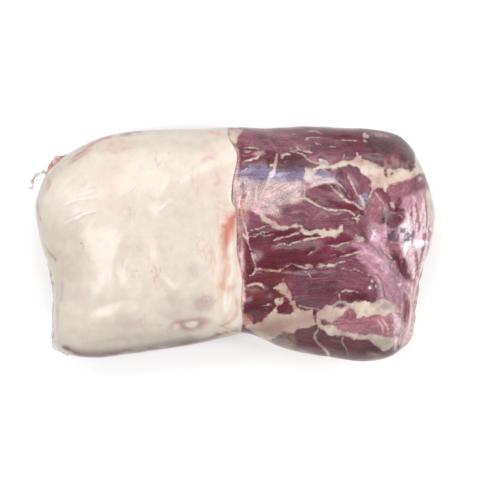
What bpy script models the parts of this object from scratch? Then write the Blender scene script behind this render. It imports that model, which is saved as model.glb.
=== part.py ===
"""A clear shrink bag sealed tight round two bone-in pork butts, one lying fat side up and one lean side up.

Metres, +Z up. X runs along the pack, Y towards its back edge, and the origin is the middle of the base.
The bag is one closed solid out to the film, so it shows the meat's own form: two hidden guides have the
shapes of the butts, and a blank is shrunk onto them as the real film is.
"""

import math

import bmesh
import bpy
import numpy as np
from mathutils import Vector

MM = 0.001

# Sizes of the meat inside the bag
FAT_SIDE_HEIGHT = 102 * MM
LEAN_SIDE_HEIGHT = 100 * MM
WIDEST_LEVEL = 0.46  # share of the height at which a butt is widest
SUNK = 4 * MM  # how far the round underside is pressed flat on the table
TOP_ROUNDNESS = 2.7  # power of the superellipse from rim to crown
PRESSED_ROUNDNESS = 7.0  # the same where the two butts are pressed together
BASE_ROUNDNESS = 3.4
UNEVENNESS = 1.6 * MM  # how far the soft sides swell out and in

# The film
FILM_CLEARANCE = 0.6 * MM
BLANK_MARGIN = 9 * MM
BLANK_CELLS = (46, 27, 12)  # faces of the blank along X, Y and Z
BLANK_ROUNDNESS = 4.2
BLANK_MIDDLE = 50 * MM
BLANK_STRETCH = 1.2  # how much taller the bag is before it shrinks
FILM_TENSION_STEPS = 3  # smoothing passes, which carry the film over the grooves
GUIDE_CELLS = (56, 60, 28)

# Rims seen from above, in millimetres from the middle of the pack, anticlockwise from the junction.
# They cross there, because the butts flatten each other.
FAT_SIDE_RIM = (
    (34, 0), (34, 60), (34, 104), (22, 114), (-8, 115), (-38, 114.5), (-71, 113.5), (-103, 111.5), (-135, 105),
    (-160, 92), (-180, 76), (-192.5, 58), (-198.5, 34), (-192.5, 6), (-184.5, -22), (-178.5, -48), (-179.5, -80),
    (-175, -102), (-160, -111), (-133, -113), (-102, -110.5), (-70, -105.5), (-38, -99.5), (-8, -92), (12, -86),
    (30, -80), (34, -66), (34, -40),
)
LEAN_SIDE_RIM = (
    (-30, 0), (-30, -50), (-28, -76), (-14, -84), (4, -87), (20, -91), (41, -101), (66, -109), (97, -114),
    (128, -116.5), (152, -113), (166, -104.5), (174, -89), (178, -64), (182.5, -38), (190, -16), (196.5, 4),
    (200, 28), (197, 49), (189, 72), (181, 88), (170, 102), (155, 110), (132, 114), (102, 115.5), (70, 116.5),
    (38, 115), (8, 114.5), (-18, 113), (-30, 102), (-30, 55),
)
FAT_SIDE_CENTRE = (-92, 2)
LEAN_SIDE_CENTRE = (98, 0)

# The face where the two butts press each other flat: plan x and y in millimetres, from front to back
JUNCTION = (
    (7, -120), (6, -90), (8, -76), (7, -56), (7, -30), (3, -8), (3, 30), (-2, 44), (0, 62), (3, 78), (3, 92),
    (-5, 106), (-7, 120),
)

# Swells and hollows of the upper face: centre x, centre y, half length, half width, turn in degrees, height, in mm
FAT_CAP_SWELLS = (
    (-163, 42, 42, 34, 60, 5),
    (-96, -25, 60, 22, 80, 4),
    (-118, -82, 46, 24, 20, 4),
    (-168, -38, 30, 22, 75, -3.5),
    (-40, 55, 60, 44, 0, 2.5),
    (-66, -8, 52, 50, 0, -2),
    (-40, -62, 42, 22, 15, -2.5),
    (-10, -20, 70, 9, 88, -2.5),
)
MUSCLES = (
    (50, 104, 46, 12, 0, 2),
    (88, 92, 26, 12, -5, 1.2),
    (153, 92, 30, 18, -12, 3),
    (16, 60, 12, 26, 0, 1),
    (50, 54, 30, 30, 0, 1.8),
    (113, 55, 22, 17, -55, 2),
    (140, 38, 12, 13, 0, 1.6),
    (176, 54, 22, 24, 0, 2.4),
    (76, 28, 44, 15, -10, 2.2),
    (62, -11, 54, 15, 0, 2),
    (124, -14, 26, 14, -25, 1.6),
    (84, -44, 34, 23, 0, 2.6),
    (152, -36, 48, 19, -52, 3),
    (21, -56, 19, 20, 0, 3),
    (133, -83, 36, 12, 0, 2),
    (110, -104, 44, 10, 0, 1.5),
    (60, -98, 22, 11, -10, 1),
    (163, -2, 36, 13, -70, -5),
)
FAT_BAND_HOLLOWS = (
    (122, 80, 30, 6, 5, -1.2),
    (152, 66, 34, 9, 0, -1),
    (70, 12, 60, 4, -8, -1),
    (60, -25, 60, 4, 0, -1.2),
    (138, -64, 40, 8, 0, -0.8),
    (52, -78, 36, 12, 0, -1.2),
)

# The trimmed film at the two ends: flat skirts left by the seals, and a curled tag
SKIRT_THICKNESS = 1.2 * MM
SKIRT_LEVEL = 46 * MM
LEFT_SKIRT = (
    (-190, -2), (-188, -20), (-185, -34), (-182.5, -50), (-182.5, -70), (-183.5, -88), (-183, -100),
    (-179, -109), (-171, -113.5), (-163, -112), (-160, -102), (-172, -80), (-172, -50), (-180, -20),
)
CORNER_SKIRT = ((-190, 66), (-184, 78), (-178, 86.5), (-172, 84), (-168, 88), (-160, 86), (-160, 74), (-176, 60))
RIGHT_SKIRT = (
    (194, -4), (192, -22), (186.5, -36), (184, -58), (181, -82), (177, -99), (168, -107.5), (158, -100),
    (164, -70), (170, -30), (184, -4),
)
TAG_PATH = ((-183, 68, 50), (-189, 69.5, 51), (-195, 66, 50), (-200, 60, 47), (-204, 54, 43), (-208.5, 53, 40))
TAG_RADIUS = 1.5 * MM


def ring(points, per_span=10):
    """Closed Catmull-Rom curve through the points, in metres."""
    knots = np.array(points, float) * MM
    before, after, beyond = np.roll(knots, 1, 0), np.roll(knots, -1, 0), np.roll(knots, -2, 0)
    steps = np.arange(per_span)[None, :, None] / per_span
    a, b, c, d = (k[:, None, :] for k in (before, knots, after, beyond))
    curve = 2 * b + (c - a) * steps + (2 * a - 5 * b + 4 * c - d) * steps**2 + (3 * b - a - 3 * c + d) * steps**3
    return (curve / 2).reshape(-1, 2)


def reach(rim, centre, angles):
    """Distance from the centre to the rim at each angle."""
    offsets = ring(rim) - np.array(centre) * MM
    around = np.arctan2(offsets[:, 1], offsets[:, 0])
    order = np.argsort(around)
    return np.interp(angles, around[order], np.hypot(*offsets[order].T), period=2 * math.pi)


def smooth_step(value, low, high):
    share = np.clip((value - low) / (high - low), 0, 1)
    return share * share * (3 - 2 * share)


def swell(x, y, rows):
    """Height added at x, y by rounded swells and hollows."""
    total = np.zeros_like(x)
    for centre_x, centre_y, half_length, half_width, turn, height in rows:
        along, across = x - centre_x * MM, y - centre_y * MM
        cos, sin = math.cos(math.radians(turn)), math.sin(math.radians(turn))
        u = (along * cos + across * sin) / (half_length * MM)
        v = (across * cos - along * sin) / (half_width * MM)
        total += height * MM * np.clip(1 - u * u - v * v, 0, None) ** 1.3
    return total


def lumps(points, seed):
    """Slow unevenness of a soft side, as a share from -1 to 1, from a few crossed waves."""
    draw = np.random.default_rng(seed)
    total = np.zeros(len(points))
    for _ in range(6):
        direction = draw.normal(size=3)
        direction /= np.linalg.norm(direction)
        wavelength = draw.uniform(45, 95) * MM
        total += np.sin(points @ direction * (2 * math.pi / wavelength) + draw.uniform(0, 6.28))
    return total / 6


def gridded_cube(cells):
    """Bmesh cube from -1 to 1, cut into cells along each axis."""
    bm = bmesh.new()
    bmesh.ops.create_cube(bm, size=2)
    for axis, count in enumerate(cells):
        along = [e for e in bm.edges if abs((e.verts[0].co - e.verts[1].co)[axis]) > 1.5]
        bmesh.ops.subdivide_edges(bm, edges=along, cuts=count - 1, use_grid_fill=True)
    return bm


def block(name, cells, shape, collection, helper):
    """An object made from a gridded cube whose points shape() moves."""
    bm = gridded_cube(cells)
    bm.verts.ensure_lookup_table()
    places = shape(np.array([v.co for v in bm.verts]))
    for vert, place in zip(bm.verts, places):
        vert.co = Vector(place)
    bmesh.ops.recalc_face_normals(bm, faces=bm.faces)
    mesh = bpy.data.meshes.new(name)
    bm.to_mesh(mesh)
    bm.free()
    mesh.shade_smooth()
    made = bpy.data.objects.new(name, mesh)
    collection.objects.link(made)
    if helper:
        made.hide_render = True
        made.display_type = "WIRE"
    return made


def loaf(cube, rim, centre, height, roundness):
    """A cube's points laid on a superellipse loaf with this rim: plan x, y, level z and share of the way up."""
    offsets = ring(rim) - np.array(centre) * MM
    half_x, half_y = np.ptp(offsets, axis=0) / 2
    angles = np.arctan2(cube[:, 1] * half_y, cube[:, 0] * half_x)
    square, upright = np.abs(cube[:, :2]).max(1), cube[:, 2]
    power = roundness(angles, upright)
    spread = (square**power + np.abs(upright) ** power) ** (1 / power)
    out, up = square / spread, upright / spread
    radius = out * reach(rim, centre, angles)
    x = centre[0] * MM + radius * np.cos(angles)
    y = centre[1] * MM + radius * np.sin(angles)
    middle = WIDEST_LEVEL * height
    z = middle + up * np.where(up > 0, height - middle, middle + SUNK)
    return x, y, z, up


def butt(cube, rim, centre, height, pressed_angle, swells, seed):
    """Points of one butt: a loaf with swells on top, uneven sides and a flat underside."""

    def roundness(angles, upright):
        pressed = smooth_step(np.cos(angles - pressed_angle), 0.45, 0.8)
        top = TOP_ROUNDNESS + (PRESSED_ROUNDNESS - TOP_ROUNDNESS) * pressed
        return np.where(upright < 0, np.maximum(top, BASE_ROUNDNESS), top)

    x, y, z, up = loaf(cube, rim, centre, height, roundness)
    z = z + swell(x, y, swells) * smooth_step(up, 0.15, 0.75)
    sides = 1 - smooth_step(np.abs(up), 0.75, 0.97)
    uneven = UNEVENNESS * lumps(np.column_stack([x, y, z]), seed) * sides
    outward = np.arctan2(y - centre[1] * MM, x - centre[0] * MM)
    x = x + uneven * np.cos(outward)
    y = y + uneven * np.sin(outward)
    return np.column_stack([x, y, np.clip(z, FILM_CLEARANCE, None)])


def junction_at(y):
    """Where the butts meet, as x for each y, in metres."""
    knots = np.array(JUNCTION) * MM
    return np.interp(y, knots[:, 1], knots[:, 0])


def fat_side_butt(cube):
    points = butt(cube, FAT_SIDE_RIM, FAT_SIDE_CENTRE, FAT_SIDE_HEIGHT, 0, FAT_CAP_SWELLS, 3)
    points[:, 0] = np.minimum(points[:, 0], junction_at(points[:, 1]))
    return points


def lean_side_butt(cube):
    swells = MUSCLES + FAT_BAND_HOLLOWS
    points = butt(cube, LEAN_SIDE_RIM, LEAN_SIDE_CENTRE, LEAN_SIDE_HEIGHT, math.pi, swells, 8)
    points[:, 0] = np.maximum(points[:, 0], junction_at(points[:, 1]))
    return points


def blank(cube):
    """The bag before it shrinks: a loaf round both butts."""
    outer = [p for p in FAT_SIDE_RIM if p[0] < -20]
    outer += [p for p in LEAN_SIDE_RIM if p[0] > 30]
    x, y, z, _ = loaf(cube, outer, (0, 0), FAT_SIDE_HEIGHT, lambda angles, upright: BLANK_ROUNDNESS)
    grown = 1 + BLANK_MARGIN / np.hypot(x, y).clip(BLANK_MARGIN)
    return np.column_stack([x * grown, y * grown, (z - BLANK_MIDDLE) * BLANK_STRETCH + BLANK_MIDDLE])


def merged_guide(parts, collection):
    """One target for the film, from the meshes of both butts."""
    bm = bmesh.new()
    for part in parts:
        bm.from_mesh(part.data)
    mesh = bpy.data.meshes.new("meat_guide")
    bm.to_mesh(mesh)
    bm.free()
    guide = bpy.data.objects.new("meat_guide", mesh)
    guide.hide_render = True
    guide.display_type = "WIRE"
    collection.objects.link(guide)
    return guide


def add_wrap(obj, guide, method, mode):
    wrap = obj.modifiers.new("shrink", "SHRINKWRAP")
    wrap.target = guide
    wrap.wrap_method = method
    wrap.wrap_mode = mode
    wrap.offset = FILM_CLEARANCE
    if method == "PROJECT":
        wrap.use_negative_direction = True
        wrap.use_positive_direction = False


def shrink(bag, guide):
    """Shrinks the blank onto the meat and evens it out, as a tight film spans a groove."""
    add_wrap(bag, guide, "PROJECT", "ON_SURFACE")
    for _ in range(FILM_TENSION_STEPS):
        tension = bag.modifiers.new("tension", "SMOOTH")
        tension.factor = 0.5
        tension.iterations = 2
        add_wrap(bag, guide, "NEAREST_SURFACEPOINT", "OUTSIDE")


def evaluated_copy(obj, name, collection):
    """A mesh object with the shape that obj has after its modifiers; obj is removed."""
    bpy.context.view_layer.update()
    graph = bpy.context.evaluated_depsgraph_get()
    mesh = bpy.data.meshes.new_from_object(obj.evaluated_get(graph))
    made = bpy.data.objects.new(name, mesh)
    made.matrix_world = obj.matrix_world
    collection.objects.link(made)
    bpy.data.objects.remove(obj)
    bm = bmesh.new()
    bm.from_mesh(mesh)
    bmesh.ops.remove_doubles(bm, verts=bm.verts, dist=1e-6)
    bm.to_mesh(mesh)
    bm.free()
    return made


def settle(bag):
    """Lays the underside flat on z = 0."""
    for vert in bag.data.vertices:
        vert.co.z = max(0.0, vert.co.z - FILM_CLEARANCE)


def skirt(name, outline, collection):
    """A flat sheet of film with this outline, standing out of the pack's end."""
    data = bpy.data.curves.new(name, "CURVE")
    data.dimensions = "2D"
    data.fill_mode = "BOTH"
    data.extrude = SKIRT_THICKNESS / 2
    spline = data.splines.new("POLY")
    edge = ring(outline, 3)
    spline.points.add(len(edge) - 1)
    for point, (x, y) in zip(spline.points, edge):
        point.co = (x, y, 0, 1)
    spline.use_cyclic_u = True
    sheet = bpy.data.objects.new(name + "_curve", data)
    sheet.location.z = SKIRT_LEVEL
    collection.objects.link(sheet)
    return evaluated_copy(sheet, name, collection)


def tag(name, collection):
    """The curled tag that trimming left at one corner."""
    data = bpy.data.curves.new(name, "CURVE")
    data.dimensions = "3D"
    data.bevel_depth = TAG_RADIUS
    data.bevel_resolution = 1
    data.use_fill_caps = True
    spline = data.splines.new("POLY")
    spline.points.add(len(TAG_PATH) - 1)
    for index, (point, place) in enumerate(zip(spline.points, TAG_PATH)):
        point.co = (*(Vector(place) * MM), 1)
        point.radius = 1.0 if index % 2 else 0.75
    strip = bpy.data.objects.new(name + "_curve", data)
    collection.objects.link(strip)
    return evaluated_copy(strip, name, collection)


def fuse(bag, pieces):
    """Joins the trimmed film to the bag and removes the loose pieces."""
    union = bag.modifiers.new("fuse", "BOOLEAN")
    union.operation = "UNION"
    union.operand_type = "COLLECTION"
    union.collection = pieces
    fused = evaluated_copy(bag, "sealed_bag", bpy.data.collections["vacuum_packed_pork_butts"])
    for piece in list(pieces.objects):
        bpy.data.objects.remove(piece)
    return fused


def stand_on_origin(bag):
    """Moves the mesh so that the middle of its base is the origin."""
    points = np.array([v.co for v in bag.data.vertices])
    low, high = points.min(0), points.max(0)
    middle = (low + high) / 2
    for vert in bag.data.vertices:
        vert.co -= Vector((middle[0], middle[1], low[2]))


def film_material():
    material = bpy.data.materials.new("clear_film_over_meat")
    material.use_nodes = True
    shader = material.node_tree.nodes["Principled BSDF"]
    shader.inputs["Base Color"].default_value = (0.48, 0.27, 0.25, 1)
    shader.inputs["Roughness"].default_value = 0.18
    shader.inputs["Metallic"].default_value = 0.0
    return material


def new_collection(name):
    collection = bpy.data.collections.new(name)
    bpy.context.scene.collection.children.link(collection)
    return collection


def main():
    for obj in list(bpy.data.objects):
        bpy.data.objects.remove(obj)
    product = new_collection("vacuum_packed_pork_butts")
    guides = new_collection("guides")
    trimmings = new_collection("trimmed_film")
    butts = [
        block("fat_side_guide", GUIDE_CELLS, fat_side_butt, guides, True),
        block("lean_side_guide", GUIDE_CELLS, lean_side_butt, guides, True),
    ]
    guide = merged_guide(butts, guides)
    wrapped = block("blank", BLANK_CELLS, blank, product, False)
    shrink(wrapped, guide)
    bag = evaluated_copy(wrapped, "tight_bag", product)
    settle(bag)
    outlines = {"left_skirt": LEFT_SKIRT, "corner_skirt": CORNER_SKIRT, "right_skirt": RIGHT_SKIRT}
    for name, outline in outlines.items():
        skirt(name, outline, trimmings)
    tag("tag", trimmings)
    bag = fuse(bag, trimmings)
    stand_on_origin(bag)
    bag.data.materials.clear()
    bag.data.materials.append(film_material())


main()
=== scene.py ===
"""Two bone-in pork butts sealed in a clear shrink bag: the looks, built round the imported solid.

Metres, +Z up. The tables below are in millimetres. Those of the meat's form are measured from the datum,
a point just right of the pack's middle. Those of its markings are seen from straight above, at the level
of the rim, from the middle of the pack.
"""

import math

import bmesh
import bpy
import numpy as np
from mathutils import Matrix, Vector


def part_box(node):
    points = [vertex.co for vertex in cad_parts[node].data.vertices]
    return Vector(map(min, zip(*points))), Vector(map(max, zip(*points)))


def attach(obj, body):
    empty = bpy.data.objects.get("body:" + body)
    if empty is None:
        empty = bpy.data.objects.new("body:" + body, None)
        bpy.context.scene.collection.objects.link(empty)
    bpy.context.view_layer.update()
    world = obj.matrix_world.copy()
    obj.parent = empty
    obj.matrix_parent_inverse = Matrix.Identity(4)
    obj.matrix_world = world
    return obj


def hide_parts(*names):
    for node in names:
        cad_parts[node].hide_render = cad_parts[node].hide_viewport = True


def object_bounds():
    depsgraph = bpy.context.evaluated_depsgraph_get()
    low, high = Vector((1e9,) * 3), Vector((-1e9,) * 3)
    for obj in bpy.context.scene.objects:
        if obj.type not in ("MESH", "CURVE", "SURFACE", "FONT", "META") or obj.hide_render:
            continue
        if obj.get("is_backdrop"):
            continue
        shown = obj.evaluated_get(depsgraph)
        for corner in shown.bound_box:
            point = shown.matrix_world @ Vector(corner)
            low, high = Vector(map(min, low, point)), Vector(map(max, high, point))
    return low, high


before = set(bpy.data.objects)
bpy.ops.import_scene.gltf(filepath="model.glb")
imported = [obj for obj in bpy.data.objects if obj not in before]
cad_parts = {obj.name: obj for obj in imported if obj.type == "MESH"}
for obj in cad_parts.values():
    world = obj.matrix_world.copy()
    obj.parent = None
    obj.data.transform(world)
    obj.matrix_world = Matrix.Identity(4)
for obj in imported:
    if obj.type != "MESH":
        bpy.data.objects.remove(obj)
cad_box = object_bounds()
bag_low, bag_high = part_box("sealed_bag")

MM = 0.001

# The camera looks straight down, and one millimetre at rim level is one pixel of a 480 pixel frame
RIM_LEVEL = 46 * MM
CAMERA_ABOVE_RIM = 1600 * MM
FRAME_WIDTH = 480 * MM
FRAME_CENTRE = np.array((10.0, 4.0)) * MM
SENSOR_WIDTH = 36.0

# Light of the studio: straight above it is dim, so that the film shows the meat, and it is bright all round
ZENITH_LIGHT = 0.22
HIGH_LIGHT = 1.1
DIM_OVERHEAD = (0.66, 0.88)  # heights of direction between which the light dims
SIDE_LIGHT = 0.7
FRONT_LIGHT = 0.4
FLOOR_GLOW = 0.2
LIGHT_AIM = (0, 0, 0.05)
# Boxes of light for the film's highlights: name, place, size and power
LIGHT_BOXES = (
    ("back_box", (-0.1, 0.66, 1.5), (1.0, 0.46), 7),
    ("left_box", (-0.56, -0.1, 1.45), (0.22, 0.6), 4.2),
    ("right_box", (1.0, 0.0, 1.4), (0.3, 0.7), 5),
)

# Noise: a table of random heights, and primes that scatter the cells of space over it
LATTICE_SIZE = 4096
LATTICE_PRIMES = (73856093, 19349663, 83492791)

# Markings, in mm: the depth of places far outside one, and how near a place is worked out
FAR_OUTSIDE = -20.0
NEARBY = 14
LEAN_BRIGHTNESS = 1.35  # how much lighter the lean is than its tones

# Form of the two butts, as in the solid
FAT_SIDE_HEIGHT = 102 * MM
LEAN_SIDE_HEIGHT = 100 * MM
WIDEST_LEVEL = 0.46  # share of the height at which a butt is widest
SUNK = 4 * MM  # how far the round underside is pressed flat on the table
TOP_ROUNDNESS = 2.7  # power of the superellipse from rim to crown
PRESSED_ROUNDNESS = 7.0  # the same where the two butts are pressed together
BASE_ROUNDNESS = 3.4
SWELL_POWER = 1.3
UNEVENNESS = 1.6 * MM  # how far the soft sides swell out and in
BUTT_CELLS = (108, 128, 36)

# Fine relief of the meat, in mm, and the height above the table over which it sets in
GROOVE_DEPTH = 0.9
GROOVE_WIDTH = 2.2
RAISED_FAT = 0.7
RELIEF_SETS_IN = 6 * MM

# The bag before it shrinks, and how it is drawn tight
FILM_CLEARANCE = 0.6 * MM
FILM_OFFSET = 0.8 * FILM_CLEARANCE
FILM_CELLS = (150, 88, 36)
BLANK_MARGIN = 9 * MM
BLANK_ROUNDNESS = 4.2
BLANK_MIDDLE = 50 * MM
BLANK_STRETCH = 1.2  # how much taller the bag is before it shrinks
TENSION_STEPS = 3
TENSION_PASSES = 14  # smoothing in each step, which carries the film over the grooves

FAT_SIDE_RIM = (
    (34, 0), (34, 60), (34, 104), (22, 114), (-8, 115), (-38, 114.5), (-71, 113.5), (-103, 111.5),
    (-135, 105), (-160, 92), (-180, 76), (-192.5, 58), (-198.5, 34), (-192.5, 6), (-184.5, -22),
    (-178.5, -48), (-179.5, -80), (-175, -102), (-160, -111), (-133, -113), (-102, -110.5), (-70, -105.5),
    (-38, -99.5), (-8, -92), (12, -86), (30, -80), (34, -66), (34, -40),
)
LEAN_SIDE_RIM = (
    (-30, 0), (-30, -50), (-28, -76), (-14, -84), (4, -87), (20, -91), (41, -101), (66, -109), (97, -114),
    (128, -116.5), (152, -113), (166, -104.5), (174, -89), (178, -64), (182.5, -38), (190, -16),
    (196.5, 4), (200, 28), (197, 49), (189, 72), (181, 88), (170, 102), (155, 110), (132, 114),
    (102, 115.5), (70, 116.5), (38, 115), (8, 114.5), (-18, 113), (-30, 102), (-30, 55),
)
FAT_SIDE_CENTRE = (-92, 2)
LEAN_SIDE_CENTRE = (98, 0)

# Where the butts press together, seen from above: x and y
JUNCTION = (
    (11, -120), (10, -90), (12, -76), (11, -56), (11, -30), (7, -8), (7, 30), (2, 44), (4, 62), (7, 78),
    (7, 92), (-1, 106), (-3, 120),
)
CONTACT_GAP = 0.1 * MM
CONTACT_RIPPLE = 1.4  # mm

# Swells and hollows of the upper face: centre x, centre y, half length, half width, turn in degrees, height
FAT_CAP_SWELLS = (
    (-163, 42, 42, 34, 60, 5),
    (-96, -25, 60, 22, 80, 4),
    (-118, -82, 46, 24, 20, 4),
    (-168, -38, 30, 22, 75, -3.5),
    (-40, 55, 60, 44, 0, 2.5),
    (-66, -8, 52, 50, 0, -2),
    (-40, -62, 42, 22, 15, -2.5),
    (-10, -20, 70, 9, 88, -2.5),
)
MUSCLE_SWELLS = (
    (50, 104, 46, 12, 0, 2),
    (88, 92, 26, 12, -5, 1.2),
    (153, 92, 30, 18, -12, 3),
    (16, 60, 12, 26, 0, 1),
    (50, 54, 30, 30, 0, 1.8),
    (113, 55, 22, 17, -55, 2),
    (140, 38, 12, 13, 0, 1.6),
    (176, 54, 22, 24, 0, 2.4),
    (76, 28, 44, 15, -10, 2.2),
    (62, -11, 54, 15, 0, 2),
    (124, -14, 26, 14, -25, 1.6),
    (84, -44, 34, 23, 0, 2.6),
    (152, -36, 48, 19, -52, 3),
    (21, -56, 19, 20, 0, 3),
    (133, -83, 36, 12, 0, 2),
    (110, -104, 44, 10, 0, 1.5),
    (60, -98, 22, 11, -10, 1),
    (163, -2, 36, 13, -70, -5),
    (122, 80, 30, 6, 5, -1.2),
    (152, 66, 34, 9, 0, -1),
    (70, 12, 60, 4, -8, -1),
    (60, -25, 60, 4, 0, -1.2),
    (138, -64, 40, 8, 0, -0.8),
    (52, -78, 36, 12, 0, -1.2),
)

# Seams of fat between the muscles: width, then the points of the line
LEAN_SEAMS = (
    (1.5, (13, 96), (17, 96.6), (24, 96.5), (30, 95.4)),
    (1.5, (14, 92), (17.5, 91.8), (20.5, 91.6)),
    (2.2, (33, 92.5), (30.4, 91), (27.3, 86.3), (20.4, 84), (13.8, 82.5)),
    (1.5, (20, 78), (15, 74.8), (12, 72.6), (9.5, 71.4)),
    (3.4, (48, 91), (46.8, 86), (45.5, 80.5), (44, 75)),
    (4.6, (45.5, 75), (43, 71), (40, 67.5), (37.5, 62.5), (35.5, 57)),
    (2.6, (36, 58), (34, 53), (31.5, 47.5), (29, 41.5)),
    (1.8, (29, 42), (29, 36), (30, 31)),
    (2.4, (43.5, 80), (41.5, 79), (40.5, 77.5)),
    (2.8, (52.5, 86), (53.5, 89.5), (56.5, 90.8), (60, 89.6)),
    (1.6, (60.4, 92.3), (66, 91.8), (72, 90.2), (76.2, 86.3), (80, 82.8), (86, 80.5), (92, 78.4)),
    (2.2, (65.5, 97), (68, 96), (71, 94)),
    (2.6, (72.5, 93.4), (77, 93), (82, 91.8)),
    (1.4, (79, 97.8), (79, 94)),
    (2.0, (74, 104.5), (76.5, 103.5), (79, 104.5)),
    (1.1, (73, 104.5), (79, 106.6), (90, 106.8), (100, 106)),
    (1.5, (85, 100.8), (90.4, 100.7)),
    (1.5, (93.5, 99.4), (99.5, 99), (106, 97.8)),
    (1.3, (50.5, 107.8), (54, 108.8), (60, 109.3), (66.5, 110.6)),
    (1.1, (76, 114), (85, 113.5), (93, 111.5)),
    (1.4, (104, 105.6), (112, 105), (120, 104), (128.5, 103)),
    (1.6, (133.8, 103.4), (137, 101.8)),
    (1.0, (112.5, 85), (113.8, 90.4)),
    (1.6, (127.5, 89), (125.8, 93)),
    (3.2, (82, 73.5), (87, 75.5), (93, 76.5), (101, 76.5)),
    (3.8, (88, 84), (93, 82.8), (99, 79.5)),
    (1.8, (74.5, 61), (75, 55), (74, 47.5)),
    (3.8, (59, 46), (61.5, 44), (66, 45)),
    (2.4, (64, 45), (69, 45.8), (73.5, 46), (78, 44.5), (82, 42.3), (87, 39.5), (92, 37.3), (99, 35),
     (106, 33.2)),
    (1.5, (105, 33.6), (110, 34), (115, 34), (120, 32.8), (123, 31), (126, 26.5)),
    (3.0, (122.5, 26.5), (126, 26), (129.5, 25)),
    (1.2, (126, 26), (130, 29.8)),
    (1.2, (126, 26), (128, 21.5)),
    (1.4, (13, 63), (15, 61), (16.5, 58.5)),
    (1.3, (13.2, 51.5), (16.8, 50.4)),
    (2.6, (13, 39.5), (15, 36), (16.5, 32)),
    (2.4, (11.5, 36), (13, 28), (15, 19), (17, 11), (18.8, 4)),
    (2.2, (44, 3.8), (48, 5.4), (54, 6.8), (60, 8.2), (66, 10.5), (72, 11.4)),
    (1.5, (42, -1.4), (46.5, -1.4), (51, 0.1), (58.8, -0.6), (63.5, 1.7)),
    (2.2, (62, 1.2), (68, 2.8), (73, 4), (79, 5.5), (86, 6.3), (93, 7)),
    (0.9, (19, 12), (23, 15), (29, 15.5), (33, 17.5), (40, 17), (46, 16.5)),
    (0.9, (23.5, 11), (30.4, 10.2), (34, 7.8), (38, 7.8), (43.5, 9.4)),
    (0.9, (20, 8), (26, 8.5), (31, 11.7), (38, 11), (43, 10)),
    (1.1, (77, -11), (80, -8.6), (83, -6)),
    (1.8, (97.5, -0.7), (103, -1.2), (108, -1.4), (112, 0.4), (117, 1.7), (122, 2.6)),
    (1.0, (99.6, -12.2), (105, -10.8)),
    (1.8, (109, -13.4), (115, -11.6), (120.4, -10.2), (127.3, -8.3), (133, -7.2)),
    (1.8, (104, -21), (108, -19.6), (113, -18), (118, -17.4)),
    (2.0, (23.5, -18), (25.8, -21.4), (26, -25.6), (23, -29.6), (18.5, -31.8)),
    (3.2, (24.5, -24), (28, -24.5), (31.5, -25)),
    (2.0, (29, -24.8), (35.8, -25.6), (41, -26.3), (48, -26), (54.2, -23.7), (58.8, -22.2), (62, -19.2)),
    (1.8, (62, -19.2), (66.5, -21.4), (72, -23.7), (77, -24.4), (83, -23.8)),
    (2.2, (76, -21.8), (79, -21.6), (82, -22.8)),
    (1.2, (112, -25.4), (118, -26.6), (122.7, -26.8), (125, -25.3), (130.4, -28), (137, -30.6),
     (143.5, -30.4)),
    (1.6, (143, -30.4), (148, -34), (150.6, -39.5), (151.5, -49)),
    (1.1, (72.7, -28), (78.8, -28)),
    (1.0, (78, -29), (80.8, -33)),
    (2.0, (13.5, 11), (15, 8.5), (17.5, 3.5), (20, -3.5)),
    (1.8, (20, -4), (22, -11), (23.5, -18)),
    (1.8, (24, -10), (25.5, -14)),
    (3.0, (16.5, -42.5), (20, -40.4), (25.5, -39.4), (30, -39.8), (33.5, -43)),
    (1.6, (49, -60), (46.5, -63.5), (44, -67.5)),
    (1.2, (68.8, -61), (72.7, -63.3), (78, -64.8), (88, -64.8)),
    (1.8, (110.5, -55), (110, -51), (112, -47.8), (116, -46.8), (124, -46.8), (130, -49)),
    (1.4, (105, -60), (109, -58.6), (114, -59), (116.8, -61.5), (113.5, -64.4), (107.5, -64.2),
     (104.5, -62)),
    (3.0, (88, -86), (85, -92.5), (86.5, -98), (90.4, -103.3), (95.8, -108), (99.6, -112.5)),
    (2.2, (112.7, -93), (112.3, -98.7), (114.2, -102.5), (116.5, -106.4), (118, -111.8)),
    (1.6, (151.5, 3), (153, -3), (156, -8), (160, -12.5), (166, -18.5)),
    (1.2, (173, -44.5), (178.8, -51), (183.8, -58.7)),
    (3.0, (160.8, 42.3), (162.5, 38.5), (164, 34.5)),
    (1.4, (145.4, 50.8), (150, 45.4), (153, 40), (155.3, 34)),
    (1.3, (103.8, 70), (105, 65), (108.5, 61), (112, 57.5), (116, 50.5), (120, 46)),
    (2.0, (117.7, 67.5), (122.3, 59), (125.4, 53), (129, 46.5)),
    (3.0, (100.8, 59), (107.7, 51.5), (113, 45.6), (118.5, 41.5), (125.4, 42.3)),
    (3.2, (122, 42), (128, 37.5), (133.5, 34.5)),
    (4.2, (129.5, 48), (133.5, 42), (135, 35)),
    (2.0, (142.7, 53), (140, 47.5), (137, 44)),
    (2.6, (186, 88), (190, 81), (195, 72)),
    (9, (198.5, 54), (201.5, 42), (203, 30), (201.5, 17)),
)

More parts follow.
